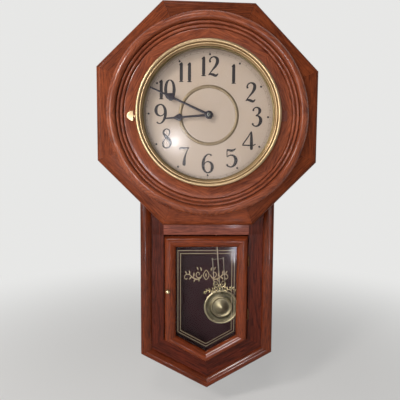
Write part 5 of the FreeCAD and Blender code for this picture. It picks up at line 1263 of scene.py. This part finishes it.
class CLOCK_OT_pendulum(bpy.types.Operator):
    """Rods, scroll plate with leaves and the stamped bob"""
    bl_idname = "clock.pendulum"
    bl_label = "Pendulum"
    bl_options = {"REGISTER", "UNDO"}

    def execute(self, context):
        back = Extent("pendulum_rods").back
        rod_brass = metal("Rod brass", linear(188, 178, 156), rough=0.3, tarnish=0.15)
        pendulum_rods(back).piece("pendulum_rod_set", rod_brass, "pendulum", "brass", ["pendulum_rods"], sharp=60)
        pale = metal("Pendulum brass", context.scene.clock_metal.pale_brass, rough=0.2, tarnish=0.3)
        pendulum_scrolls(back, Extent("pendulum_lyre").front).piece(
            "pendulum_scrolls", pale, "pendulum", "brass", ["pendulum_lyre"], sharp=60)
        # Painted shade and dark reflection in the bob: darker in the hollow inside the rim and on the slope inside the
        # ridge, a little on the boss; rim and ridge stay bright.
        stamped = ringed_metal("Stamped brass", linear(204, 194, 154), linear(70, 68, 48), BOB.x, BOB.z,
                               ((0, 0.3), (7.0, 0.35), (13.0, 0.7), (16.0, 0.6), (17.8, 0.1), (20.0, 0.1),
                                (22.5, 0.85), (28.5, 0.85), (30.5, 0.15), (34.0, 0.0)), 0.27)
        turned_piece("stamped_bob", bob_outline(), 128, stamped, "pendulum", "brass", "bob_front", BOB.x, BOB.z)
        dress(metal("Bob back steel", linear(150, 148, 140), rough=0.38, tarnish=0.5), "bob_back")
        dress(plastic("Hanger plastic", linear(205, 203, 196)), "pendulum_hanger")
        dress(metal("Drive magnet", linear(120, 120, 124), rough=0.35, tarnish=0.5), "pendulum_magnet")
        return {"FINISHED"}


class CLOCK_OT_movement(bpy.types.Operator):
    """Finishes of the movement behind the dial"""
    bl_idname = "clock.movement"
    bl_label = "Movement"
    bl_options = {"REGISTER", "UNDO"}

    def execute(self, context):
        dress(plastic("Movement plastic", linear(34, 34, 36), rough=0.45), "movement_front_case",
              "movement_back_case", "set_knob", "pendulum_pivot_pin")
        dress(plastic("Wheel plastic", linear(208, 206, 198), rough=0.4), "hour_wheel", "motion_wheel", "minute_arbor")
        dress(metal("Rotor magnet", linear(104, 104, 108), rough=0.4, tarnish=0.5), "stepper_rotor")
        dress(wound_wire("Coil wire", linear(186, 96, 52)), "stepper_coil", "pendulum_drive_coil")
        dress(circuit("Circuit"), "circuit_board")
        dress(cell("Dry cell"), "battery")
        return {"FINISHED"}


# ---------------------------------------------------------------- stage

PALE = (0.80, 0.80, 0.79)
CAMERA_TURNS = (0.0729, -0.0520, 0.0091)     # radians about the camera's x, y and z
CAMERA_SHIFT = (-0.0458, -0.0012)
# Each lamp's name, place, aim, shape, width and height, the setting of its power, its share of that, and colour.
LAMPS = (
    ("key_lamp", (-1.34, -1.45, 0.0), (0, 0, -0.2), "ELLIPSE", (0.9, 0.9), "key_power", 1, (1.0, 0.97, 0.93)),
    ("top_lamp", (-0.22, -1.3, 1.15), (0, 0, -0.2), "ELLIPSE", (0.45, 0.45), "top_power", 1, (1.0, 0.97, 0.95)),
    ("small_lamp", (-0.38, -1.577, -0.22), (0, 0, -0.2), "ELLIPSE", (0.08, 0.08), "small_power", 0.35,
     (0.97, 0.97, 1.0)),
    ("halo_lamp", (-0.38, -1.60, -0.22), (0, 0, -0.2), "ELLIPSE", (0.34, 0.34), "small_power", 1.1,
     (0.95, 0.94, 1.0)),
    ("fill_lamp", (1.3, -1.1, 0.1), (0, 0, -0.25), "ELLIPSE", (0.9, 0.9), "fill_power", 1, (0.95, 0.97, 1.0)),
    ("corner_lamp", (-0.95, -1.2, 0.62), (0, 0, -0.2), "ELLIPSE", (0.3, 0.3), "corner_power", 1, (1.0, 0.96, 0.93)),
    ("low_lamp", (0.03, -1.5, -0.42), (0, 0, -0.25), "ELLIPSE", (0.8, 0.432), "low_power", 1, (1.0, 0.95, 0.96)),
    ("window_lamp", (0.137, -0.95, -0.533), (0.05, 0, -0.35), "RECTANGLE", (0.03, 0.078), "window_power", 1,
     (0.93, 0.90, 1.0)))


def rotation(axis, angle):
    """The turn by an angle about axis 0, 1 or 2: cos and sin fill the rows of the two axes after it."""
    turn = np.eye(3)
    i, j = (axis + 1) % 3, (axis + 2) % 3
    turn[i, i] = turn[j, j] = math.cos(angle)
    turn[i, j], turn[j, i] = -math.sin(angle), math.sin(angle)
    return turn


def pale_floor():
    """A matt pale floor that shows as plain light far off, and from underneath not at all."""
    f = Finish("Pale floor")
    x, y, z = f.place()
    fade = f.step(f.radius(x, y), 250.0, 1200.0, 0.35, 1.0)
    mirrored = f.node("LightPath", out="Is Glossy Ray") * f.step(y, -150.0, 350.0)
    plain = fade * f.math("MAXIMUM", f.node("LightPath", out="Is Camera Ray"), mirrored)
    matt = f.node("BsdfDiffuse", {"Color": PALE})
    glow = f.node("Emission", {"Color": PALE, "Strength": 1.0})
    return f.surface(f.either(f.node("NewGeometry", out="Backfacing"), f.either(plain, matt, glow),
                              f.node("BsdfTransparent", {"Color": (1, 1, 1)})))


def room(light):
    """Even light, which the eye sees as a plain pale ground, and so do mirrors that look behind the clock."""
    f = Finish("Room", room=True)
    behind = f.step(f.split(f.node("TexCoord", out="Generated"))[1], -0.3, 0.3)
    mirrored = f.math("MAXIMUM", f.node("LightPath", out="Is Glossy Ray"),
                      f.node("LightPath", out="Is Transmission Ray"))
    shown = f.math("MAXIMUM", mirrored * behind, f.node("LightPath", out="Is Camera Ray"))
    return f.surface(f.either(shown, f.node("Background", {"Color": (1.0, 0.985, 0.965), "Strength": light}),
                              f.node("Background", {"Color": PALE, "Strength": 1.0})))


class CLOCK_OT_stage(bpy.types.Operator):
    """Floor, lamps, room light and camera"""
    bl_idname = "clock.stage"
    bl_label = "Stage"
    bl_options = {"REGISTER", "UNDO"}

    def execute(self, context):
        scene, stage = context.scene, context.scene.clock_stage
        level, half = CAD_BOX[0][2] - stage.floor_drop, 30
        mesh = bpy.data.meshes.new("floor")
        mesh.from_pydata([(-half, -half, level), (half, -half, level), (half, half, level), (-half, half, level)], [],
                         [(0, 1, 2, 3)])
        mesh.materials.append(pale_floor())
        floor = bpy.data.objects.new("floor", mesh)
        scene.collection.objects.link(floor)
        scene.world = room(stage.room_light)

        for name, place, aim, shape, size, power, share, colour in LAMPS:
            data = bpy.data.lights.new(name, "AREA")
            data.shape, data.energy, data.color = shape, getattr(stage, power) * share, colour
            data.size, data.size_y = size
            lamp = bpy.data.objects.new(name, data)
            lamp.location = place
            x, y, z = np.subtract(place, aim)
            lamp.rotation_euler = (math.atan2(math.hypot(x, y), z), 0, math.atan2(x, -y))
            scene.collection.objects.link(lamp)

        turn_x, turn_y, turn_z = (rotation(axis, angle) for axis, angle in enumerate(CAMERA_TURNS))
        right, down, forward = turn_z @ turn_x @ turn_y @ np.array([[1, 0, 0], [0, 0, -1], [0, 1, 0]])
        matrix = np.eye(4)
        matrix[:3] = np.stack([right, -down, -forward, stage.camera_place], 1)
        data = bpy.data.cameras.new("camera")
        data.lens, data.sensor_width, data.clip_start = stage.lens, 36, 0.01
        data.shift_x, data.shift_y = CAMERA_SHIFT
        camera = bpy.data.objects.new("camera", data)
        camera.matrix_world = Matrix(matrix.tolist())
        scene.collection.objects.link(camera)
        scene.camera = camera
        scene.view_settings.view_transform = "Standard"
        return {"FINISHED"}


OPERATORS = (CLOCK_OT_stage, CLOCK_OT_head, CLOCK_OT_bezel, CLOCK_OT_dial, CLOCK_OT_hands, CLOCK_OT_case,
             CLOCK_OT_door, CLOCK_OT_pendulum, CLOCK_OT_movement)
GROUPS = {"clock_wood": ClockWoodSettings, "clock_metal": ClockMetalSettings, "clock_dial": ClockDialSettings,
          "clock_stage": ClockStageSettings}


class CLOCK_PT_panel(bpy.types.Panel):
    """Settings and pieces of the clock"""
    bl_idname = "CLOCK_PT_panel"
    bl_label = "Pendulum Clock"
    bl_space_type = "VIEW_3D"
    bl_region_type = "UI"
    bl_category = "Clock"

    def draw(self, context):
        for group in GROUPS:
            settings = getattr(context.scene, group)
            box = self.layout.box()
            for name in settings.__annotations__:
                box.prop(settings, name)
        for operator in OPERATORS:
            self.layout.operator(operator.bl_idname)


def register():
    """Makes the clock's settings, operators and panel known."""
    for item in (*GROUPS.values(), *OPERATORS, CLOCK_PT_panel):
        bpy.utils.register_class(item)
    for name, group in GROUPS.items():
        setattr(bpy.types.Scene, name, PointerProperty(type=group))


def unregister():
    """Takes them away again."""
    for name in GROUPS:
        delattr(bpy.types.Scene, name)
    for item in (CLOCK_PT_panel, *reversed(OPERATORS), *GROUPS.values()):
        bpy.utils.unregister_class(item)


def main():
    """Builds the clock."""
    register()
    for operator in OPERATORS:
        getattr(bpy.ops.clock, operator.bl_idname.split(".")[1])()
    bpy.context.view_layer.update()


if __name__ == "__main__":
    main()
